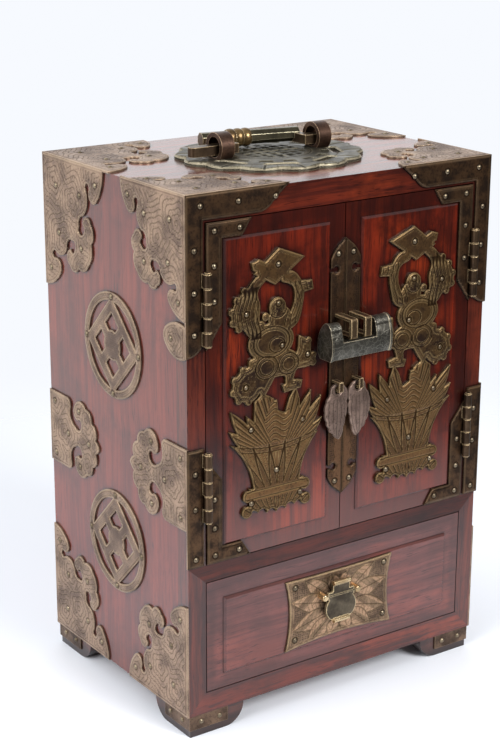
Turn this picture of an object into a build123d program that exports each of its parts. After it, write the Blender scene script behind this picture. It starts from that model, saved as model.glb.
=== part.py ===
from build123d import *
import os
from math import cos, pi, sin

# A small hardwood jewellery cabinet with aged brass mounts: two doors over a drawer, a padlock across the doors
# and a carrying handle on top. All lengths are in millimetres.
# The pieces are drawn with the middle of the carcass over the origin, and saved with the origin on the floor
# under the middle of the whole, padlock included. The front faces -Y and Z is up.

os.makedirs("parts", exist_ok=True)

# Outside of the carcass, and the height of the feet under it
box_width = 200.0
box_depth = 145.0
box_height = 286.0
foot_height = 13.0

# Boards
side_thickness = 11.0
top_thickness = 11.0
bottom_thickness = 8.0
back_thickness = 6.0
divider_thickness = 8.0
shelf_thickness = 6.0
shelf_setback = 5.0
shelf_share = 0.5

# Face frame
frame_thickness = 10.0
top_rail_height = 14.0
middle_rail_height = 10.0
bottom_rail_height = 12.0
drawer_opening_height = 65.0

# Feet
foot_length = 35.0
foot_thickness = 9.0
foot_inset = 1.2
foot_strap_thickness = 0.8
foot_strap_length = 25.0
foot_strap_height = 8.6

# Gaps
door_gap = 0.5
seam_gap = 0.5
drawer_gap = 0.5
running_gap = 0.3
cut_overrun = 2.0

# Brass plates and rivets
mount_thickness = 1.0
lock_plate_thickness = 1.2
ornament_thickness = 1.5
rivet_radius = 1.7
rivet_base_latitude = 25.0

# Raised fields
field_height = 1.5
field_bevel = 1.2
door_field_border = 9.4
door_field_seam_border = 10.4
door_field_hinge_border = 11.0
drawer_field_border = 11.0
drawer_field_rise_border = 9.0

# Hinges
hinge_length = 38.0
lower_hinge_height = 144.5
knuckle_radius = 2.2
knuckle_count = 5
knuckle_gap = 0.3
barrel_lift = 0.15
barrel_inset = 0.2
pin_radius = 0.9
pin_clearance = 0.05
pin_head_radius = 1.6
pin_head_height = 0.7
web_start = 0.5

# Corner mounts
cloud_side_width = 62.0
cloud_side_height = 65.0
cloud_top_width = 62.0
cloud_top_depth = 54.0
cloud_back_width = 66.0
cloud_back_height = 75.0
cloud_back_depth = 72.0
cloud_bottom_width = 61.0
cloud_bottom_height = 65.0
top_strap_length = 64.0
top_strap_drop = 84.0
top_strap_height = 12.6
stile_strap_width = 9.4
top_strap_end_gap = 5.5
low_strip_bottom_gap = 0.6
low_strip_end_gap = 2.5

# Hinge plates, back-edge plates and tongues
hinge_plate_length = 57.0
hinge_plate_height = 47.5
back_plate_length = 55.5
back_plate_height = 44.8
back_plate_level = 140.3
tongue_length = 20.0
tongue_height = 17.0
tongue_level = 224.0

# Roundels
roundel_radius = 29.5
roundel_rim = 4.6
roundel_stroke = 6.4
roundel_hub_radius = 8.5
roundel_high_level = 205.5
roundel_low_level = 91.5

# Handle
handle_forward = 3.4
handle_spacing = 65.4
handle_plate_width = 108.0
handle_plate_depth = 99.0
handle_plate_thickness = 1.6
ring_radius = 8.0
ring_bore_radius = 5.6
ring_length = 8.4
ring_seat_height = 6.6
bail_end_drop = 1.3
bail_end_height = 5.2
bail_end_depth = 6.0
bail_tip_radius = 2.4
bail_left_overhang = 16.0
bail_right_overhang = 1.5
bail_arm_width = 5.0
bail_arm_clearance = 1.0
bail_left_reach = 21.5
bail_right_reach = 10.5
grip_rise = 1.5
grip_radius = 3.9
grip_left_overhang = 4.0
grip_end_setback = 1.0
ferrule_radius = 4.6
ferrule_bead_height = 0.6
ferrule_bead_length = 4.6
ferrule_start_share = 0.26

# Lock plates and staples
lock_plate_width = 9.6
lock_plate_edge_gap = 0.2
lock_plate_height = 144.0
lock_plate_level = 122.0
lock_plate_hole_radius = 2.1
lock_plate_hole_inset = 6.0
staple_centre = 4.7
staple_width = 4.2
staple_strip = 1.8
staple_reach = 14.5
staple_height = 11.3
staple_seat_gap = 0.3
staple_corner_radius = 1.2

# Padlock
padlock_left = 20.0
padlock_right = 20.5
padlock_depth = 12.2
padlock_height = 19.4
padlock_level = 204.4
padlock_standoff = 4.3
padlock_cap_thickness = 1.2
padlock_cap_rim = 0.4
notch_left = 12.5
notch_right = 10.0
notch_floor_height = 9.5
bolt_radius = 1.8
bolt_clearance = 0.05
bolt_end_wall = 1.2
bolt_tip_inset = 0.1
bolt_back_gap = 0.3
bolt_setback = 9.3

# Drop pulls on the doors
drop_pull_centre = 6.8
drop_pull_width = 16.0
drop_pull_height = 31.5
drop_pull_thickness = 1.3
drop_pull_axis_level = 183.8
drop_pull_standoff = 3.5
drop_pull_hole_radius = 2.2
drop_pull_head = 3.2
pull_staple_width = 2.6
pull_staple_strip = 1.2
pull_staple_front_gap = 1.7
pull_staple_height = 5.6

# Door straps
door_strap_width = 9.4
door_strap_height = 8.6
door_strap_length = 27.5
upper_door_strap_end_gap = 3.0
lower_door_strap_setback = 5.0

# Drawer
drawer_depth = 122.0
drawer_side_thickness = 5.0
drawer_back_thickness = 5.0
drawer_bottom_thickness = 3.0
drawer_bottom_lift = 3.0
drawer_box_headroom = 6.0
drawer_plate_width = 74.4
drawer_plate_height = 42.0
drawer_plate_centre = -0.8
pull_centre = -2.8
pull_post_spacing = 22.8
pull_post_radius = 2.0
pull_post_reach = 5.6
pull_post_hole_radius = 1.0
pull_post_rise = 7.5
pull_pin_radius = 0.95
pull_axis_reach = 3.6
pull_gap = 0.4
pull_thickness = 1.6
pull_bar_height = 4.4
pull_tab_width = 11.4
pull_tab_height = 7.4
pull_drop_height = 15.4
pull_drop_width = 20.8
pull_lip_radius = 1.4
pull_lip_length = 10.5

# Door ornament
ornament_width = 63.0
ornament_height = 151.0
ornament_level = 116.0

# Places worked out from the sizes above
half_width = box_width / 2
front_face = -box_depth / 2
back_face = box_depth / 2
frame_back = front_face + frame_thickness
box_top = foot_height + box_height
opening_half_width = half_width - side_thickness
drawer_opening_bottom = foot_height + bottom_rail_height
drawer_opening_top = drawer_opening_bottom + drawer_opening_height
door_opening_bottom = drawer_opening_top + middle_rail_height
door_opening_top = box_top - top_rail_height
interior_back = back_face - back_thickness
board_bottom = foot_height

strap_front = front_face - mount_thickness
mount_top = box_top + mount_thickness
upper_hinge_height = mount_top - top_strap_drop + top_strap_end_gap + hinge_length / 2
low_strip_top = lower_hinge_height + hinge_length / 2 + low_strip_end_gap
hinge_x = -opening_half_width - barrel_inset
hinge_y = strap_front - barrel_lift - knuckle_radius
lock_plate_front = front_face - lock_plate_thickness
field_front = front_face - field_height
staple_level = padlock_level + notch_floor_height + staple_seat_gap

padlock_front = front_face - padlock_standoff - padlock_depth - padlock_cap_rim
shared_frame = Location((0, -(padlock_front + back_face) / 2, 0))

rivet_seat = (Align.CENTER, Align.CENTER, Align.MIN)
lower_corner = (Align.MIN, Align.MIN, Align.MIN)


def save(builder, name):
    """Move a finished piece into the shared frame, label it and write it to its own file."""
    piece = builder.part.moved(shared_frame)
    piece.label = name
    export_step(piece, f"parts/{name}.step")


def save_pair(builder, name):
    """Write a left-hand piece, and its mirror image for the right."""
    with BuildPart() as mirrored:
        mirror(builder.part, about=Plane.YZ)
    save(builder, f"{name}_left")
    save(mirrored, f"{name}_right")


def block(x_limits, y_limits, z_limits, mode=Mode.ADD):
    """Add or cut a rectangular block between the given limits."""
    x_low, x_high = x_limits
    y_low, y_high = y_limits
    z_low, z_high = z_limits
    with Locations((x_low, y_low, z_low)):
        Box(x_high - x_low, y_high - y_low, z_high - z_low, align=lower_corner, mode=mode)


def facing_front(y, x=0, z=0):
    """A drawing plane seen from the front: across is +X, up is +Z, and it grows towards the viewer."""
    return Plane(origin=(x, y, z), x_dir=(1, 0, 0), z_dir=(0, -1, 0))


def facing_left(x, y=0, z=0):
    """A drawing plane seen from the left side: across is -Y, up is +Z, and it grows towards -X."""
    return Plane(origin=(x, y, z), x_dir=(0, -1, 0), z_dir=(-1, 0, 0))


def draw_chain(start_share, step_shares, width, height):
    """Draw connected edges through points given as shares: one point ends a line, two end an arc."""
    here = (start_share[0] * width, start_share[1] * height)
    for step in step_shares:
        points = [(u * width, v * height) for u, v in step]
        if len(points) == 1:
            Line(here, points[0])
        else:
            ThreePointArc(here, *points)
        here = points[-1]


def mirrored_chain(start_share, step_shares, reflect):
    """The same chain run backwards after each of its points is reflected."""
    points = [start_share]
    for step in step_shares:
        points.extend(step)
    points = [reflect(point) for point in reversed(points)]
    back_steps = []
    index = 1
    for step in reversed(step_shares):
        back_steps.append(tuple(points[index:index + len(step)]))
        index += len(step)
    return back_steps


def chain_face(start_share, step_shares, width, height):
    """Fill the closed outline that a chain of share points draws."""
    with BuildLine() as outline:
        draw_chain(start_share, step_shares, width, height)
    make_face(outline.edges())


def rivets_on(plane, points):
    """Add round rivet heads whose flat sides sit on a plane."""
    with Locations(plane):
        with Locations(*points):
            Sphere(rivet_radius, arc_size1=rivet_base_latitude, align=rivet_seat)


# Carcass boards: the side boards and the top board meet in mitres along the top edges
with BuildPart() as side_panel:
    with BuildSketch(facing_front(back_face)):
        Polygon(
            (-half_width, board_bottom),
            (-half_width, box_top),
            (-opening_half_width, box_top - top_thickness),
            (-opening_half_width, board_bottom),
            align=None,
        )
    extrude(amount=back_face - frame_back)
save_pair(side_panel, "side_panel")

with BuildPart() as top_panel:
    with BuildSketch(facing_front(back_face)):
        Polygon(
            (-half_width, box_top),
            (half_width, box_top),
            (opening_half_width, box_top - top_thickness),
            (-opening_half_width, box_top - top_thickness),
            align=None,
        )
    extrude(amount=back_face - frame_back)
save(top_panel, "top_panel")

inner_width_limits = (-opening_half_width, opening_half_width)

with BuildPart() as bottom_panel:
    block(
        inner_width_limits,
        (frame_back, interior_back),
        (drawer_opening_bottom - bottom_thickness, drawer_opening_bottom),
    )
save(bottom_panel, "bottom_panel")

with BuildPart() as back_panel:
    block(inner_width_limits, (interior_back, back_face), (board_bottom, box_top - top_thickness))
save(back_panel, "back_panel")

with BuildPart() as divider_panel:
    block(
        inner_width_limits,
        (frame_back, interior_back),
        (door_opening_bottom - divider_thickness, door_opening_bottom),
    )
save(divider_panel, "divider_panel")

shelf_top = door_opening_bottom + shelf_share * (door_opening_top - door_opening_bottom) + shelf_thickness / 2
with BuildPart() as shelf:
    block(
        inner_width_limits,
        (frame_back + shelf_setback, interior_back),
        (shelf_top - shelf_thickness, shelf_top),
    )
save(shelf, "shelf")


def frame_member(points):
    """Add one flat member of the face frame with the given outline."""
    with BuildSketch(facing_front(frame_back)) as outline:
        Polygon(*points, align=None)
    extrude(outline.sketch, amount=frame_thickness)


# Face frame, mitred at its corners and round the drawer
with BuildPart() as door_stile:
    frame_member([
        (-half_width, door_opening_bottom),
        (-opening_half_width, door_opening_bottom),
        (-opening_half_width, door_opening_top),
        (-half_width, box_top),
    ])
save_pair(door_stile, "door_stile")

with BuildPart() as drawer_stiles:
    for side in (-1, 1):
        frame_member([
            (side * half_width, board_bottom),
            (side * opening_half_width, drawer_opening_bottom),
            (side * opening_half_width, drawer_opening_top),
            (side * half_width, door_opening_bottom),
        ])
save(drawer_stiles, "drawer_stiles")

with BuildPart() as front_top_rail:
    frame_member([
        (-half_width, box_top),
        (-opening_half_width, door_opening_top),
        (opening_half_width, door_opening_top),
        (half_width, box_top),
    ])
save(front_top_rail, "front_top_rail")

with BuildPart() as front_middle_rail:
    frame_member([
        (-half_width, door_opening_bottom),
        (-opening_half_width, drawer_opening_top),
        (opening_half_width, drawer_opening_top),
        (half_width, door_opening_bottom),
    ])
save(front_middle_rail, "front_middle_rail")

with BuildPart() as front_bottom_rail:
    frame_member([
        (-half_width, board_bottom),
        (half_width, board_bottom),
        (opening_half_width, drawer_opening_bottom),
        (-opening_half_width, drawer_opening_bottom),
    ])
save(front_bottom_rail, "front_bottom_rail")

# Bracket feet: two legs in an L, each with a flat sole that rounds up to the carcass
foot_start_share = (0.0, 1.0)
foot_step_shares = [((1.0, 1.0),), ((0.93, 0.36), (0.64, 0.0)), ((0.0, 0.0),), ((0.0, 1.0),)]
foot_corner_x = -half_width + foot_inset
foot_corner_y = front_face + foot_inset


def bracket_foot(corner_y, inward):
    """Add a left foot whose side leg runs from corner_y in the direction inward, +1 for the back."""
    front_plane = facing_front(corner_y, x=foot_corner_x)
    side_plane = Plane(origin=(foot_corner_x, corner_y, 0), x_dir=(0, inward, 0), z_dir=(inward, 0, 0))
    with BuildSketch(front_plane) as front_leg:
        chain_face(foot_start_share, foot_step_shares, foot_length, foot_height)
    extrude(front_leg.sketch, amount=foot_thickness, dir=(0, inward, 0))
    with BuildSketch(side_plane) as side_leg:
        chain_face(foot_start_share, foot_step_shares, foot_length, foot_height)
    extrude(side_leg.sketch, amount=foot_thickness, dir=(1, 0, 0))


with BuildPart() as foot_front:
    bracket_foot(foot_corner_y, 1)
save_pair(foot_front, "foot_front")

with BuildPart() as foot_back:
    bracket_foot(-foot_corner_y, -1)
save_pair(foot_back, "foot_back")

# Brass corner straps round the feet, with the wood's two faces left free below them
strap_outer_x = -half_width + foot_inset - foot_strap_thickness
strap_low = foot_height - foot_strap_height
with BuildPart() as foot_straps:
    for end in (-1, 1):
        outer_y = end * (-foot_corner_y + foot_strap_thickness)
        face_y = end * -foot_corner_y
        inner_y = outer_y - end * foot_strap_length
        block(
            (strap_outer_x, strap_outer_x + foot_strap_length),
            (min(outer_y, face_y), max(outer_y, face_y)),
            (strap_low, foot_height),
        )
        block(
            (strap_outer_x, foot_corner_x),
            (min(outer_y, inner_y), max(outer_y, inner_y)),
            (strap_low, foot_height),
        )
    mirror(about=Plane.YZ)
save(foot_straps, "foot_straps")

# Cloud-shaped corner plate: one half of the outline, from the end of an edge to the tip on the diagonal.
# The other half is the same with across and down changed over.
cloud_start_share = (1.0, 0.0)
cloud_half_shares = [
    ((0.97, 0.14), (0.88, 0.26)),
    ((0.80, 0.26), (0.775, 0.18)),
    ((0.745, 0.135), (0.72, 0.18)),
    ((0.735, 0.30), (0.665, 0.385)),
    ((0.60, 0.42), (0.595, 0.47)),
    ((0.615, 0.53), (0.665, 0.515)),
    ((0.69, 0.48), (0.665, 0.45)),
    ((0.715, 0.385), (0.79, 0.43)),
    ((0.83, 0.50), (0.79, 0.575)),
    ((0.80, 0.65), (0.74, 0.74)),
]
cloud_other_half_shares = mirrored_chain(cloud_start_share, cloud_half_shares, lambda point: point[::-1])
cloud_close_shares = [((0.0, 0.0),), ((1.0, 0.0),)]
cloud_step_shares = cloud_half_shares + cloud_other_half_shares + cloud_close_shares


def corner_cloud(corner, across, down, outward, width, height):
    """Add one cloud-shaped plate that spreads from a corner along two edges."""
    normal = Vector(*across).cross(Vector(*down))
    with BuildSketch(Plane(origin=corner, x_dir=across, z_dir=normal)) as outline:
        chain_face(cloud_start_share, cloud_step_shares, width, height)
    extrude(outline.sketch, amount=mount_thickness, dir=outward)


def knuckles(centre_z, places, side):
    """Add the hinge knuckles at the given places of a barrel, each on a web to its leaf on one side."""
    pitch = hinge_length / knuckle_count
    for place in places:
        low = centre_z - hinge_length / 2 + place * pitch + knuckle_gap / 2
        high = low + pitch - knuckle_gap
        with BuildSketch(Plane(origin=(hinge_x, hinge_y, low), x_dir=(1, 0, 0), z_dir=(0, 0, 1))) as barrel:
            Circle(knuckle_radius)
        extrude(barrel.sketch, amount=high - low)
        web = (hinge_x + side * web_start, hinge_x + side * knuckle_radius)
        block((min(web), max(web)), (hinge_y, strap_front + mount_thickness / 2), (low, high))


def barrel_bore(centre_z):
    """Cut the pin's hole through one barrel."""
    low = centre_z - hinge_length / 2 - cut_overrun
    with BuildSketch(Plane(origin=(hinge_x, hinge_y, low), x_dir=(1, 0, 0), z_dir=(0, 0, 1))) as bore:
        Circle(pin_radius + pin_clearance)
    extrude(bore.sketch, amount=hinge_length + 2 * cut_overrun, mode=Mode.SUBTRACT)


carcass_knuckle_places = range(0, knuckle_count, 2)
door_knuckle_places = range(1, knuckle_count, 2)
mount_left = -half_width - mount_thickness

# Front strap of a top corner mount: along the top rail with a slanted end, and down the stile to a curved end
top_strap_end_shares = [((0.92, 0.30), (0.83, 0.68)), ((0.76, 0.94), (0.68, 1.0))]
stile_strap_end_share = 0.93
with BuildPart() as corner_mount_top_front:
    corner_cloud(
        (-half_width, strap_front, mount_top), (0, 1, 0), (0, 0, -1), (-1, 0, 0),
        cloud_side_width, cloud_side_height,
    )
    corner_cloud(
        (mount_left, strap_front, box_top), (1, 0, 0), (0, 1, 0), (0, 0, 1),
        cloud_top_width, cloud_top_depth,
    )
    with BuildSketch(facing_front(front_face, x=mount_left, z=mount_top)):
        with BuildLine():
            draw_chain(
                (0.0, 0.0),
                [((1.0, 0.0),)] + top_strap_end_shares,
                top_strap_length,
                -top_strap_height - mount_thickness,
            )
            rail_end = (top_strap_end_shares[-1][-1][0] * top_strap_length, -top_strap_height - mount_thickness)
            inner_corner = (stile_strap_width + mount_thickness, rail_end[1])
            stile_end = (inner_corner[0], -stile_strap_end_share * top_strap_drop)
            Polyline(rail_end, inner_corner, stile_end)
            ThreePointArc(
                stile_end,
                (stile_end[0] / 2, -top_strap_drop + mount_thickness),
                (0, -top_strap_drop),
            )
            Line((0, -top_strap_drop), (0, 0))
        make_face()
    extrude(amount=mount_thickness)
    knuckles(upper_hinge_height, carcass_knuckle_places, -1)
    barrel_bore(upper_hinge_height)
save_pair(corner_mount_top_front, "corner_mount_top_front")

with BuildPart() as corner_mount_top_back:
    corner_cloud(
        (-half_width, back_face, mount_top), (0, -1, 0), (0, 0, -1), (-1, 0, 0),
        cloud_back_width, cloud_back_height,
    )
    corner_cloud(
        (mount_left, back_face, box_top), (1, 0, 0), (0, -1, 0), (0, 0, 1),
        cloud_back_width, cloud_back_depth,
    )
save_pair(corner_mount_top_back, "corner_mount_top_back")

with BuildPart() as corner_mounts_bottom:
    for end in (-1, 1):
        corner_cloud(
            (-half_width, end * back_face, board_bottom), (0, -end, 0), (0, 0, 1), (-1, 0, 0),
            cloud_bottom_width, cloud_bottom_height,
        )
    mirror(about=Plane.YZ)
save(corner_mounts_bottom, "corner_mounts_bottom")

# Cloud-headed plate: a neck from the edge and a head with two curls, the same above and below its middle line
head_start_share = (0.0, 0.48)
head_half_shares = [
    ((0.36, 0.48),),
    ((0.42, 0.44), (0.425, 0.36)),
    ((0.44, 0.20), (0.52, 0.13)),
    ((0.60, 0.11), (0.65, 0.19)),
    ((0.63, 0.25), (0.58, 0.24)),
    ((0.50, 0.30), (0.51, 0.40)),
    ((0.61, 0.505), (0.74, 0.44)),
    ((0.83, 0.40), (0.86, 0.29)),
    ((0.94, 0.21), (0.93, 0.09)),
    ((0.975, 0.05), (1.0, 0.0)),
]
head_other_half_shares = mirrored_chain(
    head_start_share, head_half_shares, lambda point: (point[0], -point[1])
)
head_step_shares = head_half_shares + head_other_half_shares + [(head_start_share,)]


def headed_plate(edge_y, level, inward, length, height):
    """Add a cloud-headed plate on the left side board, from an upright edge inward."""
    plane = Plane(origin=(-half_width, edge_y, level), x_dir=(0, inward, 0), z_dir=(inward, 0, 0))
    with BuildSketch(plane) as outline:
        chain_face(head_start_share, head_step_shares, length, height)
    extrude(outline.sketch, amount=mount_thickness, dir=(-1, 0, 0))


# Hinge plates: from a cloud head on the side board round to a strip on the stile that carries the knuckles
with BuildPart() as hinge_plate:
    headed_plate(strap_front, lower_hinge_height, 1, hinge_plate_length, hinge_plate_height)
    block(
        (mount_left, mount_left + stile_strap_width + mount_thickness),
        (strap_front, front_face),
        (door_opening_bottom + low_strip_bottom_gap, low_strip_top),
    )
    knuckles(lower_hinge_height, carcass_knuckle_places, -1)
    barrel_bore(lower_hinge_height)
save_pair(hinge_plate, "hinge_plate")

with BuildPart() as back_edge_plates:
    headed_plate(back_face, back_plate_level, -1, back_plate_length, back_plate_height)
    mirror(about=Plane.YZ)
save(back_edge_plates, "back_edge_plates")

# Small tongues below the top corner mounts, on the side boards
tongue_start_share = (0.0, 0.5)
tongue_step_shares = [
    ((0.60, 0.52), (0.93, 0.30)),
    ((1.02, 0.05), (0.93, -0.22)),
    ((0.70, -0.46), (0.0, -0.5)),
    (tongue_start_share,),
]
with BuildPart() as side_tongues:
    with BuildSketch(
        Plane(origin=(-half_width, front_face, tongue_level), x_dir=(0, 1, 0), z_dir=(1, 0, 0))
    ):
        chain_face(tongue_start_share, tongue_step_shares, tongue_length, tongue_height)
    extrude(amount=mount_thickness, dir=(-1, 0, 0))
    mirror(about=Plane.YZ)
save(side_tongues, "side_tongues")

# Pierced roundels: a rim, a square set on its corner, a cross and a hub
lattice_turn = 45
with BuildPart() as side_roundels:
    for level in (roundel_low_level, roundel_high_level):
        with BuildSketch(facing_left(-half_width, z=level)):
            Circle(roundel_radius)
            Circle(roundel_radius - roundel_rim, mode=Mode.SUBTRACT)
            lattice_side = (2 * roundel_radius - roundel_rim) / 2**0.5
            Rectangle(lattice_side, lattice_side, rotation=lattice_turn)
            hole_side = lattice_side - 2 * roundel_stroke
            Rectangle(hole_side, hole_side, rotation=lattice_turn, mode=Mode.SUBTRACT)
            for turn in (lattice_turn, -lattice_turn):
                Rectangle(lattice_side, roundel_stroke, rotation=turn)
            Circle(roundel_hub_radius)
        extrude(amount=mount_thickness)
    mirror(about=Plane.YZ)
save(side_roundels, "side_roundels")

# Handle backplate: an oval with scalloped edges and a ring of pierced slots
scallop_count = 14
scallop_share = 0.07
scallop_steps = 112
slot_ring_share = 0.70
slot_length_share = 0.17
slot_width_share = 0.045
slot_count = 8
plate_half_width = handle_plate_width / 2
plate_half_depth = handle_plate_depth / 2


def scallop_point(step):
    """A point on the scalloped oval: an ellipse whose radius swells and shrinks round its edge."""
    angle = 2 * pi * step / scallop_steps
    swell = 1 + scallop_share * (abs(cos(scallop_count * angle / 2)) - 1)
    return (plate_half_width * swell * cos(angle), plate_half_depth * swell * sin(angle))


with BuildPart() as handle_backplate:
    with BuildSketch(Plane(origin=(0, -handle_forward, box_top))):
        with BuildLine():
            Polyline(*[scallop_point(step) for step in range(scallop_steps)], close=True)
        make_face()
        for slot in range(slot_count):
            angle = 2 * pi * (slot + 0.5) / slot_count
            place = (
                slot_ring_share * plate_half_width * cos(angle),
                slot_ring_share * plate_half_depth * sin(angle),
            )
            with Locations(place):
                SlotOverall(
                    slot_length_share * handle_plate_width,
                    slot_width_share * handle_plate_width,
                    rotation=360 * (slot + 0.5) / slot_count + 90,
                    mode=Mode.SUBTRACT,
                )
    extrude(amount=handle_plate_thickness)
save(handle_backplate, "handle_backplate")

# Ring posts that carry the bail, each cut flat where it stands on the backplate
plate_top = box_top + handle_plate_thickness
ring_centre_z = plate_top + ring_seat_height
handle_axis_z = ring_centre_z - bail_end_drop
with BuildPart() as handle_posts:
    for side in (-1, 1):
        start_x = side * handle_spacing / 2 - ring_length / 2
        ring_origin = (start_x, -handle_forward, ring_centre_z)
        with BuildSketch(Plane(origin=ring_origin, x_dir=(0, 1, 0), z_dir=(1, 0, 0))):
            Circle(ring_radius)
            with Locations((0, -ring_seat_height)):
                Rectangle(
                    2 * ring_radius, ring_radius, align=(Align.CENTER, Align.MAX), mode=Mode.SUBTRACT
                )
            Circle(ring_bore_radius, mode=Mode.SUBTRACT)
        extrude(amount=ring_length)
save(handle_posts, "handle_posts")

# Bail, folded back: two ends in the rings, two arms, and a faceted grip that runs askew from the long left arm
# to the short right one, with a beaded ferrule at its left
ring_inner_x = (handle_spacing - ring_length) / 2
arm_outer = ring_inner_x - bail_arm_clearance
arm_inner = arm_outer - bail_arm_width
end_y_limits = (-handle_forward - bail_end_depth / 2, -handle_forward + bail_end_depth / 2)
end_z_limits = (handle_axis_z - bail_end_height / 2, handle_axis_z + bail_end_height / 2)
left_tip = -ring_inner_x - ring_length - bail_left_overhang
right_tip = ring_inner_x + ring_length + bail_right_overhang
grip_z = handle_axis_z + grip_rise
grip_start = Vector(-arm_outer - grip_left_overhang, bail_left_reach - handle_forward, grip_z)
grip_end = Vector(arm_outer - grip_end_setback, bail_right_reach - handle_forward, grip_z)
grip_run = grip_end - grip_start
grip_direction = grip_run.normalized()
grip_across = Vector(-grip_direction.Y, grip_direction.X, 0)
grip_sides = 8
ferrule_beads = 3
with BuildPart() as handle_bail:
    block((left_tip, -arm_inner), end_y_limits, end_z_limits)
    tip_edges = faces().sort_by(Axis.X)[0].edges().filter_by(Axis.Z)
    fillet(tip_edges, radius=bail_tip_radius)
    block((arm_inner, right_tip), end_y_limits, end_z_limits)
    for side, reach in ((-1, bail_left_reach), (1, bail_right_reach)):
        arm_x = (side * arm_inner, side * arm_outer)
        block((min(arm_x), max(arm_x)), (end_y_limits[0], reach - handle_forward), end_z_limits)
    with BuildSketch(Plane(origin=grip_start, x_dir=grip_across, z_dir=grip_direction)):
        RegularPolygon(grip_radius, grip_sides, major_radius=False, rotation=180 / grip_sides)
    extrude(amount=grip_run.length)
    ferrule_start = grip_start + grip_run * ferrule_start_share
    ferrule_length = ferrule_beads * ferrule_bead_length
    with BuildSketch(Plane(origin=ferrule_start, x_dir=grip_direction, z_dir=-grip_across)):
        with BuildLine():
            Polyline((0, ferrule_radius), (0, 0), (ferrule_length, 0), (ferrule_length, ferrule_radius))
            for bead in range(ferrule_beads):
                bead_x = bead * ferrule_bead_length
                ThreePointArc(
                    (bead_x, ferrule_radius),
                    (bead_x + ferrule_bead_length / 2, ferrule_radius + ferrule_bead_height),
                    (bead_x + ferrule_bead_length, ferrule_radius),
                )
        make_face()
    revolve(axis=Axis(ferrule_start, grip_direction))
save(handle_bail, "handle_bail")

# Hinge pins with a small head at each end
with BuildPart() as hinge_pins:
    for centre_z in (lower_hinge_height, upper_hinge_height):
        low = centre_z - hinge_length / 2 + knuckle_gap / 2
        high = centre_z + hinge_length / 2 - knuckle_gap / 2
        with Locations((hinge_x, hinge_y, low - pin_head_height)):
            Cylinder(pin_radius, high - low + 2 * pin_head_height, align=rivet_seat)
            Cylinder(pin_head_radius, pin_head_height, align=rivet_seat)
        with Locations((hinge_x, hinge_y, high)):
            Cylinder(pin_head_radius, pin_head_height, align=rivet_seat)
    mirror(about=Plane.YZ)
save(hinge_pins, "hinge_pins")

# Rivets of the carcass mounts, as shares of the plate that each holds
cloud_rivet_shares = [(0.23, 0.22), (0.62, 0.24), (0.26, 0.57), (0.88, 0.13), (0.11, 0.86), (0.63, 0.63)]
head_rivet_shares = [(0.11, 0.35), (0.11, -0.35), (0.38, 0.0), (0.80, 0.0), (0.61, 0.37), (0.61, -0.37)]
tongue_rivet_share = 0.66
roundel_rivet_turns = 4
top_strap_rivet_shares = [0.14, 0.50, 0.86]
stile_strap_rivet_shares = [0.34, 0.60, 0.86]
low_strip_rivet_shares = [0.07, 0.50, 0.80]
left_side_plane = Plane(origin=(mount_left, 0, 0), x_dir=(0, 1, 0), z_dir=(-1, 0, 0))
top_face_plane = Plane(origin=(0, 0, mount_top), x_dir=(1, 0, 0), z_dir=(0, 0, 1))


def side_points(points):
    """Points on the left side board, as Y and Z, turned into the left side plane's own coordinates."""
    return [(y, -z) for y, z in points]


def side_cloud_points(corner_y, corner_z, inward, up, width, height):
    """Rivet places of a cloud plate on the side, as Y and Z."""
    return [
        (corner_y + inward * u * width, corner_z + up * v * height) for u, v in cloud_rivet_shares
    ]


def side_head_points(edge_y, level, inward, length, height):
    """Rivet places of a cloud-headed plate, as Y and Z."""
    return [(edge_y + inward * u * length, level + v * height) for u, v in head_rivet_shares]


side_rivet_points = (
    side_cloud_points(strap_front, mount_top, 1, -1, cloud_side_width, cloud_side_height)
    + side_cloud_points(back_face, mount_top, -1, -1, cloud_back_width, cloud_back_height)
    + side_cloud_points(front_face, board_bottom, 1, 1, cloud_bottom_width, cloud_bottom_height)
    + side_cloud_points(back_face, board_bottom, -1, 1, cloud_bottom_width, cloud_bottom_height)
    + side_head_points(strap_front, lower_hinge_height, 1, hinge_plate_length, hinge_plate_height)
    + side_head_points(back_face, back_plate_level, -1, back_plate_length, back_plate_height)
    + [(front_face + tongue_rivet_share * tongue_length, tongue_level)]
)
for level in (roundel_low_level, roundel_high_level):
    for turn in range(roundel_rivet_turns):
        angle = 2 * pi * turn / roundel_rivet_turns
        reach = roundel_radius - roundel_rim / 2
        side_rivet_points.append((reach * cos(angle), level + reach * sin(angle)))

top_rivet_points = []
for inward, corner_y, width, depth in (
    (1, strap_front, cloud_top_width, cloud_top_depth),
    (-1, back_face, cloud_back_width, cloud_back_depth),
):
    for u, v in cloud_rivet_shares:
        top_rivet_points.append((mount_left + u * width, corner_y + inward * v * depth))

strap_rivet_x = mount_left + (stile_strap_width + mount_thickness) / 2
front_rivet_points = []
for share in top_strap_rivet_shares:
    front_rivet_points.append((mount_left + share * top_strap_length, mount_top - top_strap_height / 2))
for share in stile_strap_rivet_shares:
    front_rivet_points.append((strap_rivet_x, mount_top - share * top_strap_drop))
low_strip_bottom = door_opening_bottom + low_strip_bottom_gap
for share in low_strip_rivet_shares:
    front_rivet_points.append((strap_rivet_x, low_strip_bottom + share * (low_strip_top - low_strip_bottom)))

foot_rivet_shares = [0.30, 0.78]
foot_rivet_level = strap_low + foot_strap_height / 2
foot_front_points = [
    (strap_outer_x + share * foot_strap_length, foot_rivet_level) for share in foot_rivet_shares
]
foot_side_points = [
    (end * (-foot_corner_y + foot_strap_thickness - share * foot_strap_length), foot_rivet_level)
    for end in (-1, 1)
    for share in foot_rivet_shares
]
foot_side_plane = Plane(origin=(strap_outer_x, 0, 0), x_dir=(0, 1, 0), z_dir=(-1, 0, 0))

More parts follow.
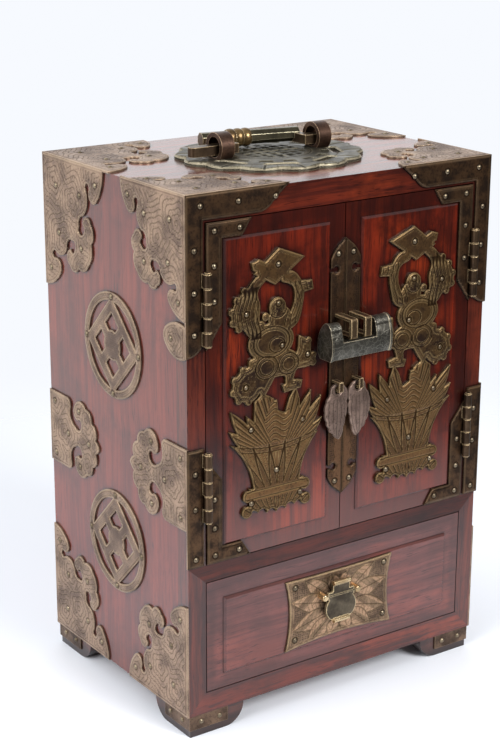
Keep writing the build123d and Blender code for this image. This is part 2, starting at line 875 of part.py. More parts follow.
with BuildPart() as carcass_rivets:
    rivets_on(left_side_plane, side_points(side_rivet_points))
    rivets_on(top_face_plane, top_rivet_points)
    rivets_on(facing_front(strap_front), front_rivet_points)
    rivets_on(facing_front(foot_corner_y - foot_strap_thickness), foot_front_points)
    rivets_on(foot_side_plane, side_points(foot_side_points))
    mirror(about=Plane.YZ)
save(carcass_rivets, "carcass_rivets")

# Doors, drawn as the left door: a board with a raised field and a meeting edge that slopes away at the back
door_left_edge = -opening_half_width + door_gap
door_right_edge = -seam_gap / 2
door_low = door_opening_bottom + door_gap
door_high = door_opening_top - door_gap
meeting_bevel = 1.0
door_field_left = -opening_half_width + door_field_hinge_border
door_field_right = -door_field_seam_border
door_field_low = door_opening_bottom + door_field_border
door_field_high = door_opening_top - door_field_border
upper_door_strap_drop = door_high - upper_hinge_height + hinge_length / 2 + upper_door_strap_end_gap
lower_door_strap_rise = lower_hinge_height + hinge_length / 2 - lower_door_strap_setback - door_low


def raised_field(x_limits, z_limits):
    """Add a raised field with bevelled shoulders to the front of a board."""
    block(x_limits, (field_front, front_face), z_limits)


def bevel_front_edges():
    """Bevel the shoulders of a raised field, which stands furthest forward on its board."""
    front = faces().sort_by(Axis.Y)[0]
    chamfer(front.edges(), length=field_bevel)


with BuildPart() as door_board:
    with BuildSketch(Plane.XY.offset(door_low)):
        Polygon(
            (door_left_edge, front_face),
            (door_right_edge, front_face),
            (door_right_edge - meeting_bevel, frame_back),
            (door_left_edge, frame_back),
            align=None,
        )
    extrude(amount=door_high - door_low)
    raised_field((door_field_left, door_field_right), (door_field_low, door_field_high))
    bevel_front_edges()
save_pair(door_board, "door_board")

# Lock plates: half of a long plate with pointed ends, pierced near each end
lock_plate_shoulder_share = 0.075
lock_plate_hole_share = 0.115
lock_plate_ogee_share = 0.35
lock_plate_swell_share = 0.8
lock_plate_curve_share = 0.333
lock_plate_slot_share = 0.25
with BuildPart() as lock_plate:
    with BuildSketch(facing_front(front_face, x=-lock_plate_edge_gap, z=lock_plate_level)):
        with BuildLine():
            low_shoulder = lock_plate_shoulder_share * lock_plate_height
            low_neck = lock_plate_ogee_share * low_shoulder
            low_swell = (1 - lock_plate_curve_share) * low_shoulder
            middle = -lock_plate_width / 2
            swell_x = -lock_plate_swell_share * lock_plate_width
            Line((0, 0), (0, lock_plate_height))
            Line((0, lock_plate_height), (middle, lock_plate_height - low_neck))
            ThreePointArc(
                (middle, lock_plate_height - low_neck),
                (swell_x, lock_plate_height - low_swell),
                (-lock_plate_width, lock_plate_height - low_shoulder),
            )
            Line((-lock_plate_width, lock_plate_height - low_shoulder), (-lock_plate_width, low_shoulder))
            ThreePointArc((-lock_plate_width, low_shoulder), (swell_x, low_swell), (middle, low_neck))
            Line((middle, low_neck), (0, 0))
        make_face()
        for share in (lock_plate_hole_share, 1 - lock_plate_hole_share):
            with Locations((-lock_plate_hole_inset, share * lock_plate_height)):
                Circle(lock_plate_hole_radius, mode=Mode.SUBTRACT)
                with Locations((-lock_plate_slot_share * lock_plate_width, 0)):
                    Rectangle(lock_plate_width / 2, lock_plate_hole_radius, mode=Mode.SUBTRACT)
    extrude(amount=lock_plate_thickness)
save_pair(lock_plate, "door_lock_plate")

# Staples: a flat strip bent forward, down and back to the lock plate, one on each door
staple_start_x = -staple_centre - staple_width / 2
with BuildPart() as staple:
    block(
        (staple_start_x, staple_start_x + staple_width),
        (lock_plate_front - staple_reach, lock_plate_front),
        (staple_level, staple_level + staple_height),
    )
    block(
        (staple_start_x, staple_start_x + staple_width),
        (lock_plate_front - staple_reach + staple_strip, lock_plate_front),
        (staple_level + staple_strip, staple_level + staple_height - staple_strip),
        mode=Mode.SUBTRACT,
    )
    front_corners = faces().sort_by(Axis.Y)[0].edges().filter_by(Axis.X)
    fillet(front_corners, radius=staple_corner_radius)
save_pair(staple, "door_staple")

# Corner straps of the doors: an upper and a lower L, with the hinge knuckles on their outer edges
strap_slant_share = 0.80
with BuildPart() as door_straps:
    for base_z, up, run, centre_z in (
        (door_high, -1, upper_door_strap_drop, upper_hinge_height),
        (door_low, 1, lower_door_strap_rise, lower_hinge_height),
    ):
        with BuildSketch(facing_front(front_face, x=door_left_edge, z=base_z)):
            with BuildLine():
                Polyline(
                    (0, 0),
                    (door_strap_length, 0),
                    (strap_slant_share * door_strap_length, up * door_strap_height),
                    (door_strap_width, up * door_strap_height),
                    (door_strap_width, up * strap_slant_share * run),
                    (0, up * run),
                    close=True,
                )
            make_face()
        extrude(amount=mount_thickness)
        knuckles(centre_z, door_knuckle_places, 1)
        barrel_bore(centre_z)
save_pair(door_straps, "door_straps")

# Staples for the drop pulls: a narrow strip bent into a U, whose lower leg the pull hangs on
pull_axis_y = lock_plate_front - drop_pull_standoff
pull_staple_front = pull_axis_y - drop_pull_thickness / 2 - pull_staple_front_gap - pull_staple_strip
pull_staple_low = drop_pull_axis_level - pull_staple_strip / 2
pull_staple_x = (-drop_pull_centre - pull_staple_width / 2, -drop_pull_centre + pull_staple_width / 2)
with BuildPart() as pull_staple:
    block(
        pull_staple_x,
        (pull_staple_front, lock_plate_front),
        (pull_staple_low, pull_staple_low + pull_staple_height),
    )
    block(
        pull_staple_x,
        (pull_staple_front + pull_staple_strip, lock_plate_front),
        (pull_staple_low + pull_staple_strip, pull_staple_low + pull_staple_height - pull_staple_strip),
        mode=Mode.SUBTRACT,
    )
save_pair(pull_staple, "door_pull_staple")

# Leaf-shaped drop pulls: wider on the outer side than towards the seam, with a lobed edge
leaf_start_share = (0.0, 0.0)
leaf_step_shares = [
    ((-0.20, -0.01), (-0.31, -0.09)),
    ((-0.33, -0.16), (-0.38, -0.21)),
    ((-0.44, -0.24), (-0.47, -0.31)),
    ((-0.53, -0.38), (-0.52, -0.47)),
    ((-0.52, -0.57), (-0.45, -0.64)),
    ((-0.43, -0.72), (-0.35, -0.76)),
    ((-0.31, -0.84), (-0.20, -0.87)),
    ((-0.09, -0.95), (0.06, -1.0)),
    ((0.19, -0.92), (0.23, -0.79)),
    ((0.30, -0.72), (0.31, -0.62)),
    ((0.37, -0.56), (0.38, -0.47)),
    ((0.41, -0.40), (0.36, -0.33)),
    ((0.41, -0.27), (0.40, -0.20)),
    ((0.39, -0.13), (0.30, -0.07)),
    ((0.19, -0.01), leaf_start_share),
]
with BuildPart() as drop_pull:
    with BuildSketch(
        facing_front(
            pull_axis_y + drop_pull_thickness / 2,
            x=-drop_pull_centre,
            z=drop_pull_axis_level + drop_pull_head,
        )
    ):
        chain_face(leaf_start_share, leaf_step_shares, drop_pull_width, drop_pull_height)
        with Locations((0, -drop_pull_head)):
            Circle(drop_pull_hole_radius, mode=Mode.SUBTRACT)
    extrude(amount=drop_pull_thickness)
save_pair(drop_pull, "drop_pull")

# Door ornament: a dancing figure holds up a plain tablet, over leaves in a flared basket on a scrolled stand.
# Points are shares of the ornament's width, from its middle, and of its height, from its foot.
tablet_shares = [(-0.016, 1.0), (0.248, 0.956), (-0.048, 0.872), (-0.263, 0.921)]
tablet_rod_shares = [(-0.286, 0.960), (-0.213, 0.970), (-0.127, 0.952), (-0.190, 0.918), (-0.270, 0.934)]
ribbon_shares = [(0.200, 0.872), (0.327, 0.868), (0.343, 0.834), (0.220, 0.828)]
shoe_shares = [(0.032, 0.505), (0.159, 0.520), (0.240, 0.512), (0.222, 0.484), (0.054, 0.478)]
left_leg_shares = [
    (-0.270, 0.560), (-0.032, 0.552), (-0.085, 0.517), (-0.138, 0.485), (-0.060, 0.466), (-0.025, 0.440),
    (-0.245, 0.436), (-0.254, 0.464), (-0.190, 0.485),
]
right_leg_shares = [(0.032, 0.560), (0.175, 0.560), (0.140, 0.515), (0.120, 0.490), (0.060, 0.495), (0.066, 0.530)]
mound_shares = [
    (-0.250, 0.450), (-0.022, 0.457), (-0.010, 0.417), (0.063, 0.404), (0.105, 0.454), (0.170, 0.495),
    (0.213, 0.444), (0.238, 0.270), (-0.270, 0.270),
]
sleeve_shares = [
    (-0.150, 0.905), (-0.245, 0.908), (-0.308, 0.880), (-0.390, 0.854), (-0.460, 0.821), (-0.485, 0.781),
    (-0.445, 0.746), (-0.365, 0.732), (-0.286, 0.700), (-0.215, 0.710), (-0.206, 0.768), (-0.200, 0.808),
    (-0.225, 0.848), (-0.185, 0.878),
]
arm_shares = [
    (0.020, 0.892), (0.130, 0.910), (0.213, 0.874), (0.244, 0.821), (0.222, 0.768), (0.159, 0.715),
    (0.050, 0.705), (0.100, 0.759), (0.145, 0.801), (0.143, 0.845), (0.090, 0.868),
]
hip_shares = [
    (-0.290, 0.622), (-0.060, 0.640), (0.150, 0.622), (0.213, 0.580), (0.150, 0.545), (-0.016, 0.542),
    (-0.150, 0.535), (-0.270, 0.560),
]
wing_shares = [
    (0.120, 0.609), (0.190, 0.632), (0.205, 0.675), (0.262, 0.662), (0.322, 0.640), (0.325, 0.609),
    (0.375, 0.579), (0.325, 0.560), (0.222, 0.556), (0.130, 0.570),
]
trail_shares = [
    (-0.200, 0.609), (-0.317, 0.597), (-0.415, 0.576), (-0.470, 0.536), (-0.447, 0.494), (-0.365, 0.474),
    (-0.255, 0.474), (-0.190, 0.505), (-0.170, 0.555),
]
head_centre_share = (-0.025, 0.792)
head_radius_share = 0.083
collar_centre_share = (0.0, 0.752)
collar_width_share = 0.23
collar_height_share = 0.085
torso_centre_share = (-0.086, 0.672)
torso_width_share = 0.46
torso_height_share = 0.135
bead_centre_shares = [(-0.143, 0.764), (-0.190, 0.738)]
bead_radius_share = 0.036
scallop_radius_share = 0.032
scallop_centre_shares = [
    (-0.352, 0.866), (-0.428, 0.838), (-0.476, 0.800), (-0.468, 0.762), (-0.408, 0.738), (-0.368, 0.587),
    (-0.446, 0.557), (-0.462, 0.514), (-0.408, 0.482), (-0.310, 0.472), (0.298, 0.650), (0.350, 0.594),
    (0.350, 0.568),
]
leaf_root_share = 0.24
leaf_spread_share = 0.30
leaf_bulge_share = 0.11
leaf_tip_shares = [
    (-0.500, 0.375), (-0.490, 0.446), (-0.330, 0.420), (0.330, 0.468), (0.440, 0.440), (0.400, 0.395),
    (0.455, 0.357),
]
basket_start_share = (-0.490, 0.325)
basket_step_shares = [
    ((-0.040, 0.285), (0.410, 0.308)),
    ((0.270, 0.225), (0.215, 0.120)),
    ((-0.250, 0.120),),
    ((-0.320, 0.235), (-0.490, 0.325)),
]
stand_start_share = (-0.300, 0.148)
stand_step_shares = [
    ((-0.017, 0.138), (0.265, 0.148)),
    ((0.250, 0.104), (0.265, 0.060)),
    ((0.218, 0.062), (0.170, 0.050)),
    ((0.125, 0.062), (0.080, 0.042)),
    ((0.032, 0.054), (-0.017, 0.038)),
    ((-0.066, 0.054), (-0.114, 0.042)),
    ((-0.159, 0.062), (-0.204, 0.050)),
    ((-0.252, 0.062), (-0.300, 0.060)),
    ((-0.285, 0.104), (-0.300, 0.148)),
]
stand_scroll_radius_share = 0.052
stand_scroll_shares = [(-0.312, 0.120), (-0.322, 0.062), (0.278, 0.120), (0.288, 0.062)]
ornament_centre_x = (door_field_left + door_field_right) / 2


def ornament_points(shares):
    """Turn share points of the ornament into lengths."""
    return [(u * ornament_width, v * ornament_height) for u, v in shares]


def spray_leaf(tip_share):
    """Add one pointed leaf that fans out of the basket's mouth."""
    base, tip = ornament_points([(leaf_spread_share * tip_share[0], leaf_root_share), tip_share])
    run = (tip[0] - base[0], tip[1] - base[1])
    middle = ((base[0] + tip[0]) / 2, (base[1] + tip[1]) / 2)
    offset = (-leaf_bulge_share * run[1], leaf_bulge_share * run[0])
    with BuildLine() as outline:
        ThreePointArc(base, (middle[0] + offset[0], middle[1] + offset[1]), tip)
        ThreePointArc(tip, (middle[0] - offset[0], middle[1] - offset[1]), base)
    make_face(outline.edges())


def ornament_discs(centre_shares, radius_share):
    """Add round lobes of one size."""
    with Locations(*ornament_points(centre_shares)):
        Circle(radius_share * ornament_width)


with BuildPart() as door_ornament:
    with BuildSketch(facing_front(field_front, x=ornament_centre_x, z=ornament_level)):
        chain_face(basket_start_share, basket_step_shares, ornament_width, ornament_height)
        chain_face(stand_start_share, stand_step_shares, ornament_width, ornament_height)
        ornament_discs(stand_scroll_shares, stand_scroll_radius_share)
        for tip_share in leaf_tip_shares:
            spray_leaf(tip_share)
        for shares in (
            mound_shares, left_leg_shares, right_leg_shares, shoe_shares, ribbon_shares, tablet_rod_shares,
            tablet_shares,
        ):
            Polygon(*ornament_points(shares), align=None)
        for shares in (hip_shares, trail_shares, wing_shares, sleeve_shares, arm_shares):
            with BuildLine():
                Spline(*ornament_points(shares), periodic=True)
            make_face()
        with Locations(*ornament_points([torso_centre_share])):
            Ellipse(torso_width_share * ornament_width / 2, torso_height_share * ornament_height / 2)
        with Locations(*ornament_points([collar_centre_share])):
            Ellipse(collar_width_share * ornament_width / 2, collar_height_share * ornament_height / 2)
        ornament_discs([head_centre_share], head_radius_share)
        ornament_discs(bead_centre_shares, bead_radius_share)
        ornament_discs(scallop_centre_shares, scallop_radius_share)
    extrude(amount=ornament_thickness)
save_pair(door_ornament, "door_ornament")

# Rivets of one door: on the ornament, the lock plate and the straps
ornament_rivet_shares = [
    (-0.022, 0.943), (-0.340, 0.786), (-0.022, 0.806), (0.020, 0.653), (0.286, 0.602), (-0.346, 0.526),
    (0.240, 0.366), (-0.290, 0.368), (-0.022, 0.198), (0.228, 0.092), (-0.280, 0.092),
]
lock_plate_rivet_shares = [(0.5, 0.055), (0.5, 0.945)]
strap_rail_rivet_shares = [0.18, 0.74]
strap_stile_rivet_shares = [0.34, 0.62]
with BuildPart() as door_rivets:
    ornament_plane = facing_front(field_front - ornament_thickness, x=ornament_centre_x, z=ornament_level)
    rivets_on(ornament_plane, ornament_points(ornament_rivet_shares))
    lock_rivet_points = [
        (-u * lock_plate_width, v * lock_plate_height) for u, v in lock_plate_rivet_shares
    ]
    rivets_on(facing_front(lock_plate_front, x=-lock_plate_edge_gap, z=lock_plate_level), lock_rivet_points)
    strap_points = []
    for base_z, up, run in ((door_high, -1, upper_door_strap_drop), (door_low, 1, lower_door_strap_rise)):
        for share in strap_rail_rivet_shares:
            strap_points.append(
                (door_left_edge + share * door_strap_length, base_z + up * door_strap_height / 2)
            )
        for share in strap_stile_rivet_shares:
            strap_points.append((door_left_edge + door_strap_width / 2, base_z + up * share * run))
    rivets_on(facing_front(strap_front), strap_points)
save_pair(door_rivets, "door_rivets")

# Drawer: front board with a raised field, two sides, back and bottom
drawer_half_width = opening_half_width - drawer_gap
drawer_front_low = drawer_opening_bottom + drawer_gap
drawer_front_high = drawer_opening_top - drawer_gap
drawer_floor = drawer_opening_bottom + running_gap
drawer_box_top = drawer_opening_top - drawer_box_headroom
drawer_back_end = frame_back + drawer_depth
with BuildPart() as drawer_front:
    block(
        (-drawer_half_width, drawer_half_width),
        (front_face, frame_back),
        (drawer_front_low, drawer_front_high),
    )
    raised_field(
        (-opening_half_width + drawer_field_border, opening_half_width - drawer_field_border),
        (drawer_opening_bottom + drawer_field_rise_border, drawer_opening_top - drawer_field_border),
    )
    bevel_front_edges()
save(drawer_front, "drawer_front")

with BuildPart() as drawer_side:
    block(
        (-drawer_half_width, -drawer_half_width + drawer_side_thickness),
        (frame_back, drawer_back_end),
        (drawer_floor, drawer_box_top),
    )
save_pair(drawer_side, "drawer_side")

drawer_inner_limits = (-drawer_half_width + drawer_side_thickness, drawer_half_width - drawer_side_thickness)
with BuildPart() as drawer_back:
    block(
        drawer_inner_limits,
        (drawer_back_end - drawer_back_thickness, drawer_back_end),
        (drawer_floor, drawer_box_top),
    )
save(drawer_back, "drawer_back")

drawer_bottom_low = drawer_floor + drawer_bottom_lift
with BuildPart() as drawer_bottom:
    block(
        drawer_inner_limits,
        (frame_back, drawer_back_end - drawer_back_thickness),
        (drawer_bottom_low, drawer_bottom_low + drawer_bottom_thickness),
    )
save(drawer_bottom, "drawer_bottom")

# Drawer plate with four hollow sides
plate_start_share = (-0.5, -0.5)
plate_step_shares = [
    ((0.0, -0.43), (0.5, -0.5)),
    ((0.46, 0.0), (0.5, 0.5)),
    ((0.0, 0.485), (-0.5, 0.5)),
    ((-0.46, 0.0), (-0.5, -0.5)),
]
drawer_field_middle = (
    drawer_opening_bottom + drawer_field_rise_border + drawer_opening_top - drawer_field_border
) / 2
drawer_plate_front = field_front - mount_thickness
with BuildPart() as drawer_plate:
    with BuildSketch(facing_front(field_front, x=drawer_plate_centre, z=drawer_field_middle)):
        chain_face(plate_start_share, plate_step_shares, drawer_plate_width, drawer_plate_height)
    extrude(amount=mount_thickness)
save(drawer_plate, "drawer_plate")

# Posts on the drawer plate, each drilled across for the pull's pins
pull_axis_z = drawer_field_middle + pull_post_rise
drawer_pull_axis_y = drawer_plate_front - pull_axis_reach
pull_axis_plane = Plane(origin=(pull_centre, drawer_pull_axis_y, pull_axis_z), x_dir=(0, 1, 0), z_dir=(1, 0, 0))
with BuildPart() as drawer_pull_posts:
    for side in (-1, 1):
        post_x = pull_centre + side * pull_post_spacing / 2
        with Locations(facing_front(drawer_plate_front, x=post_x, z=pull_axis_z)):
            Cylinder(pull_post_radius, pull_post_reach, align=rivet_seat)
    round_ends = faces().filter_by(Axis.Y).group_by(Axis.Y)[0].edges()
    fillet(round_ends, radius=pull_post_radius / 2)
    with Locations(pull_axis_plane):
        Cylinder(pull_post_hole_radius, pull_post_spacing, mode=Mode.SUBTRACT)
save(drawer_pull_posts, "drawer_pull_posts")

# Drawer pull: a bar between the posts on two pins, with a tab above it and a round drop below it, each with a lip
pull_bar_width = pull_post_spacing - 2 * pull_post_radius - 2 * pull_gap
pull_pin_length = pull_post_spacing - pull_post_radius / 2
drop_waist_share = 0.78
drop_widest_share = 0.5
with BuildPart() as drawer_pull:
    with BuildSketch(facing_front(drawer_pull_axis_y + pull_thickness / 2, x=pull_centre, z=pull_axis_z)):
        half_tab = pull_tab_width / 2
        half_bar = pull_bar_width / 2
        half_drop = pull_drop_width / 2
        half_lip = pull_lip_length / 2
        bar_edge = pull_bar_height / 2
        half_waist = drop_waist_share * half_drop
        drop_middle = -drop_widest_share * (bar_edge + pull_drop_height)
        with BuildLine():
            Polyline(
                (half_waist, -bar_edge),
                (half_bar, -bar_edge),
                (half_bar, bar_edge),
                (half_tab, bar_edge),
                (half_tab, pull_tab_height),
                (-half_tab, pull_tab_height),
                (-half_tab, bar_edge),
                (-half_bar, bar_edge),
                (-half_bar, -bar_edge),
                (-half_waist, -bar_edge),
            )
            ThreePointArc((-half_waist, -bar_edge), (-half_drop, drop_middle), (-half_lip, -pull_drop_height))
            Line((-half_lip, -pull_drop_height), (half_lip, -pull_drop_height))
            ThreePointArc((half_lip, -pull_drop_height), (half_drop, drop_middle), (half_waist, -bar_edge))
        make_face()
    extrude(amount=pull_thickness)
    with Locations(pull_axis_plane):
        Cylinder(pull_pin_radius, pull_pin_length)
    lip_y = drawer_pull_axis_y - pull_thickness / 2
    for lip_z, length in (
        (pull_axis_z + pull_tab_height, pull_tab_width),
        (pull_axis_z - pull_drop_height, pull_lip_length),
    ):
        with Locations(Plane(origin=(pull_centre, lip_y, lip_z), x_dir=(0, 1, 0), z_dir=(1, 0, 0))):
            Cylinder(pull_lip_radius, length)
save(drawer_pull, "drawer_pull")

plate_rivet_shares = [(-0.415, -0.36), (0.425, -0.36), (-0.415, 0.39), (0.425, 0.40)]
with BuildPart() as drawer_rivets:
    rivets_on(
        facing_front(drawer_plate_front, x=drawer_plate_centre, z=drawer_field_middle),
        [(u * drawer_plate_width, v * drawer_plate_height) for u, v in plate_rivet_shares],
    )
save(drawer_rivets, "drawer_rivets")

# Padlock case: a round-fronted bar with a cap at each end and a notch for the two staples
case_start_share = (0.15, 0.0)
case_step_shares = [
    ((0.88, 0.0),),
    ((1.0, 0.36), (0.88, 0.78)),
    ((0.78, 0.94), (0.62, 1.0)),
    ((0.46, 1.0),),
    ((0.14, 0.76), (0.0, 0.40)),
    ((0.02, 0.14), (0.15, 0.0)),
]
case_back = front_face - padlock_standoff
with BuildPart() as padlock_case:
    with BuildSketch(facing_left(padlock_right, y=case_back, z=padlock_level)):
        chain_face(case_start_share, case_step_shares, padlock_depth, padlock_height)
    extrude(amount=padlock_left + padlock_right)
    for cap_x in (padlock_right, -padlock_left + padlock_cap_thickness):
        with BuildSketch(facing_left(cap_x, y=case_back, z=padlock_level)):
            chain_face(case_start_share, case_step_shares, padlock_depth, padlock_height)
            offset(amount=padlock_cap_rim)
        extrude(amount=padlock_cap_thickness)
    block(
        (-notch_left, notch_right),
        (case_back - padlock_depth - cut_overrun, case_back + cut_overrun),
        (padlock_level + notch_floor_height, padlock_level + padlock_height + cut_overrun),
        mode=Mode.SUBTRACT,
    )
    bolt_axis_y = front_face - bolt_setback
    bolt_axis_z = staple_level + staple_height / 2
    bolt_bore_length = padlock_right - notch_right - bolt_end_wall
    bore_plane = Plane(origin=(notch_right, bolt_axis_y, bolt_axis_z), x_dir=(0, 1, 0), z_dir=(1, 0, 0))
    with BuildSketch(bore_plane):
        Circle(bolt_radius + bolt_clearance)
    extrude(amount=bolt_bore_length, mode=Mode.SUBTRACT)
save(padlock_case, "padlock_case")

with BuildPart() as padlock_bolt:
    with BuildSketch(bore_plane.offset(bolt_tip_inset)):
        Circle(bolt_radius)
    extrude(amount=bolt_bore_length - bolt_tip_inset - bolt_back_gap)
save(padlock_bolt, "padlock_bolt")
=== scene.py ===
import math

import bpy
import numpy as np
from mathutils import Matrix, Vector


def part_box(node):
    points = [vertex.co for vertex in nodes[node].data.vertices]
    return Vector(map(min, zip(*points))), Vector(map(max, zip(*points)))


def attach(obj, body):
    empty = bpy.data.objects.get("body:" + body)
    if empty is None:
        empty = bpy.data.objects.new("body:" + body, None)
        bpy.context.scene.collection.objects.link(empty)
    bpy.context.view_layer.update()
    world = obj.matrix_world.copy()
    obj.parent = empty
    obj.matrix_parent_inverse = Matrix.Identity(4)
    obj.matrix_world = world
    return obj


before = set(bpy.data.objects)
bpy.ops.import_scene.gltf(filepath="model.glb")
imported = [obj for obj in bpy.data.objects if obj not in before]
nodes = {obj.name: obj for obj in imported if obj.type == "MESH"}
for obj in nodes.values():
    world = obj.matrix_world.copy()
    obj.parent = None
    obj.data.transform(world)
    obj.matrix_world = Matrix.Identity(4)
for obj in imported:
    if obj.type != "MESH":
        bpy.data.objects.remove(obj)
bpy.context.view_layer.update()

# Camera: the photograph looks down a little on the cabinet's left front corner through a long lens, from
# nearly a metre away. The camera aims near the middle of the box.
look_at = Vector((-0.0102, 0.00845, 0.1725))
camera_turn = math.radians(-34.98)
camera_rise = math.radians(17.64)
camera_roll = math.radians(0.21)
camera_distance = 0.9863
away = Vector((
    math.sin(camera_turn) * math.cos(camera_rise),
    -math.cos(camera_turn) * math.cos(camera_rise),
    math.sin(camera_rise),
))
camera_data = bpy.data.cameras.new("camera")
camera_data.sensor_fit = "AUTO"
camera_data.sensor_width = 36.0
camera_data.lens = 82.55
camera_data.clip_start = 0.05
camera = bpy.data.objects.new("camera", camera_data)
bpy.context.collection.objects.link(camera)
camera.matrix_world = (
    Matrix.Translation(look_at + camera_distance * away)
    @ (-away).to_track_quat("-Z", "Y").to_matrix().to_4x4()
    @ Matrix.Rotation(camera_roll, 4, "Z")
)
bpy.context.scene.camera = camera
bpy.context.scene.view_settings.view_transform = "Standard"

# Studio: a white paper sheet under the cabinet that fades into a white background, a bright paper backdrop
# behind it and to its left, soft light from above, and a dark room in front, which the lacquer and the
# metal mirror.
sheet_radius = 0.62
sheet_fade = 0.44
sheet_corners = 96
sheet_colour = (0.885, 0.915, 0.97)
background_colour = (0.93, 0.955, 1.0)
room_colour = (0.97, 0.98, 1.0)
room_strength = 0.03
backdrop_direction = (-0.42, 0.88, -0.20)
backdrop_strength = 1.25
ceiling_strength = 0.45
lamps = (
    # name, place, width in metres, power in watts
    ("window_left", (-1.3, -0.25, 0.95), 1.1, 13.0),
    ("lamp_front", (0.35, -1.55, 1.10), 0.9, 34.0),
)


def add_node(tree, kind, inputs=None, **settings):
    """Add a shader node, with its settings and with values or links on its inputs."""
    node = tree.nodes.new(kind)
    for key, value in settings.items():
        setattr(node, key, value)
    for key, value in (inputs or {}).items():
        if isinstance(value, bpy.types.NodeSocket):
            tree.links.new(value, node.inputs[key])
        else:
            node.inputs[key].default_value = value
    return node


def calculate(tree, operation, first, second=0.0, clamp=False):
    """One Math node's result."""
    inputs = {0: first, 1: second}
    return add_node(tree, "ShaderNodeMath", inputs, operation=operation, use_clamp=clamp).outputs[0]


def times(tree, first, second):
    """The product of two values."""
    return calculate(tree, "MULTIPLY", first, second)


def plus(tree, first, second):
    """The sum of two values."""
    return calculate(tree, "ADD", first, second)


def minus(tree, first, second):
    """The first value less the second."""
    return calculate(tree, "SUBTRACT", first, second)


def vector_math(tree, operation, inputs):
    """One Vector Math node's outputs."""
    return add_node(tree, "ShaderNodeVectorMath", inputs, operation=operation).outputs


def smooth_range(tree, value, low, high):
    """A value from 0 at low to 1 at high, easing in and out."""
    inputs = {"Value": value, "From Min": low, "From Max": high}
    return add_node(tree, "ShaderNodeMapRange", inputs, interpolation_type="SMOOTHSTEP").outputs[0]


def new_material(name):
    """A material, its emptied node tree and its object coordinates."""
    material = bpy.data.materials.new(name)
    material.use_nodes = True
    tree = material.node_tree
    tree.nodes.clear()
    return material, tree, add_node(tree, "ShaderNodeTexCoord").outputs["Object"]


def mixed_surface(tree, share, first, second):
    """Mix the shaders of two nodes."""
    return add_node(tree, "ShaderNodeMixShader", {0: share, 1: first.outputs[0], 2: second.outputs[0]})


world = bpy.data.worlds.new("daylight")
bpy.context.scene.world = world
world.use_nodes = True
sky = world.node_tree
sky.nodes.clear()
direction = add_node(sky, "ShaderNodeTexCoord").outputs["Generated"]
towards_backdrop = vector_math(sky, "DOT_PRODUCT", {0: direction, 1: backdrop_direction})["Value"]
backdrop = times(sky, smooth_range(sky, towards_backdrop, -0.30, 0.42), backdrop_strength)
upward = add_node(sky, "ShaderNodeSeparateXYZ", {0: direction}).outputs["Z"]
ceiling = times(sky, smooth_range(sky, upward, 0.2, 0.9), ceiling_strength)
daylight = plus(sky, plus(sky, backdrop, ceiling), room_strength)
room = add_node(sky, "ShaderNodeBackground", {"Color": (*room_colour, 1.0), "Strength": daylight})
seen = add_node(sky, "ShaderNodeBackground", {"Color": (*background_colour, 1.0), "Strength": 1.0})
camera_ray = add_node(sky, "ShaderNodeLightPath").outputs["Is Camera Ray"]
add_node(sky, "ShaderNodeOutputWorld", {"Surface": mixed_surface(sky, camera_ray, room, seen).outputs[0]})

for name, place, size, power in lamps:
    lamp = bpy.data.lights.new(name, "AREA")
    lamp.shape = "DISK"
    lamp.size = size
    lamp.energy = power
    lamp_object = bpy.data.objects.new(name, lamp)
    facing = (look_at - Vector(place)).to_track_quat("-Z", "Y").to_matrix().to_4x4()
    lamp_object.matrix_world = Matrix.Translation(place) @ facing
    bpy.context.collection.objects.link(lamp_object)

turns = np.linspace(0, 2 * np.pi, sheet_corners + 1)[:-1]
rim_points = np.column_stack([sheet_radius * np.cos(turns), sheet_radius * np.sin(turns), 0 * turns])
sheet_mesh = bpy.data.meshes.new("white_sheet")
sheet_mesh.from_pydata(rim_points.tolist(), [], [list(range(sheet_corners))])
white_sheet = bpy.data.objects.new("white_sheet", sheet_mesh)
bpy.context.collection.objects.link(white_sheet)
paper, tree, place = new_material("white_paper")
reach = vector_math(tree, "LENGTH", {0: place})["Value"]
fade = smooth_range(tree, reach, sheet_radius - sheet_fade, sheet_radius)
matt = add_node(tree, "ShaderNodeBsdfDiffuse", {"Color": (*sheet_colour, 1.0)})
clear = add_node(tree, "ShaderNodeBsdfTransparent")
add_node(tree, "ShaderNodeOutputMaterial", {"Surface": mixed_surface(tree, fade, matt, clear).outputs[0]})
white_sheet.data.materials.append(paper)

# Carcass: the side and top boards, mitred along the top edges, and the back, floor, partition and shelf
# are lacquered rosewood with a straight streaky grain and dark pores, blotched by old lacquer. Every corner
# and the wood beside every mount is darkened where ambient occlusion finds it: grime together with painted
# shade.
side_light, side_dark = (0.190, 0.030, 0.016), (0.100, 0.015, 0.010)
lid_light, lid_dark = (0.20, 0.036, 0.016), (0.075, 0.013, 0.007)


def noise(tree, vector, scale, detail, roughness=0.5, output="Fac"):
    """A Noise Texture's value or colour."""
    inputs = {"Vector": vector, "Scale": scale, "Detail": detail, "Roughness": roughness}
    return add_node(tree, "ShaderNodeTexNoise", inputs).outputs[output]


def blend_colours(tree, share, first, second):
    """Mix two colours, given as sockets or as red, green and blue."""
    first, second = ((*value, 1.0) if isinstance(value, tuple) else value for value in (first, second))
    return add_node(tree, "ShaderNodeMix", {0: share, 6: first, 7: second}, data_type="RGBA").outputs[2]


def shaded(colour, share):
    """A share of a colour's brightness."""
    return tuple(share * part for part in colour)


def relief(tree, strength, depth, height, **extra):
    """The normal of a bump whose full height is the depth, in metres."""
    inputs = {"Strength": strength, "Distance": depth, "Height": height, **extra}
    return add_node(tree, "ShaderNodeBump", inputs).outputs[0]


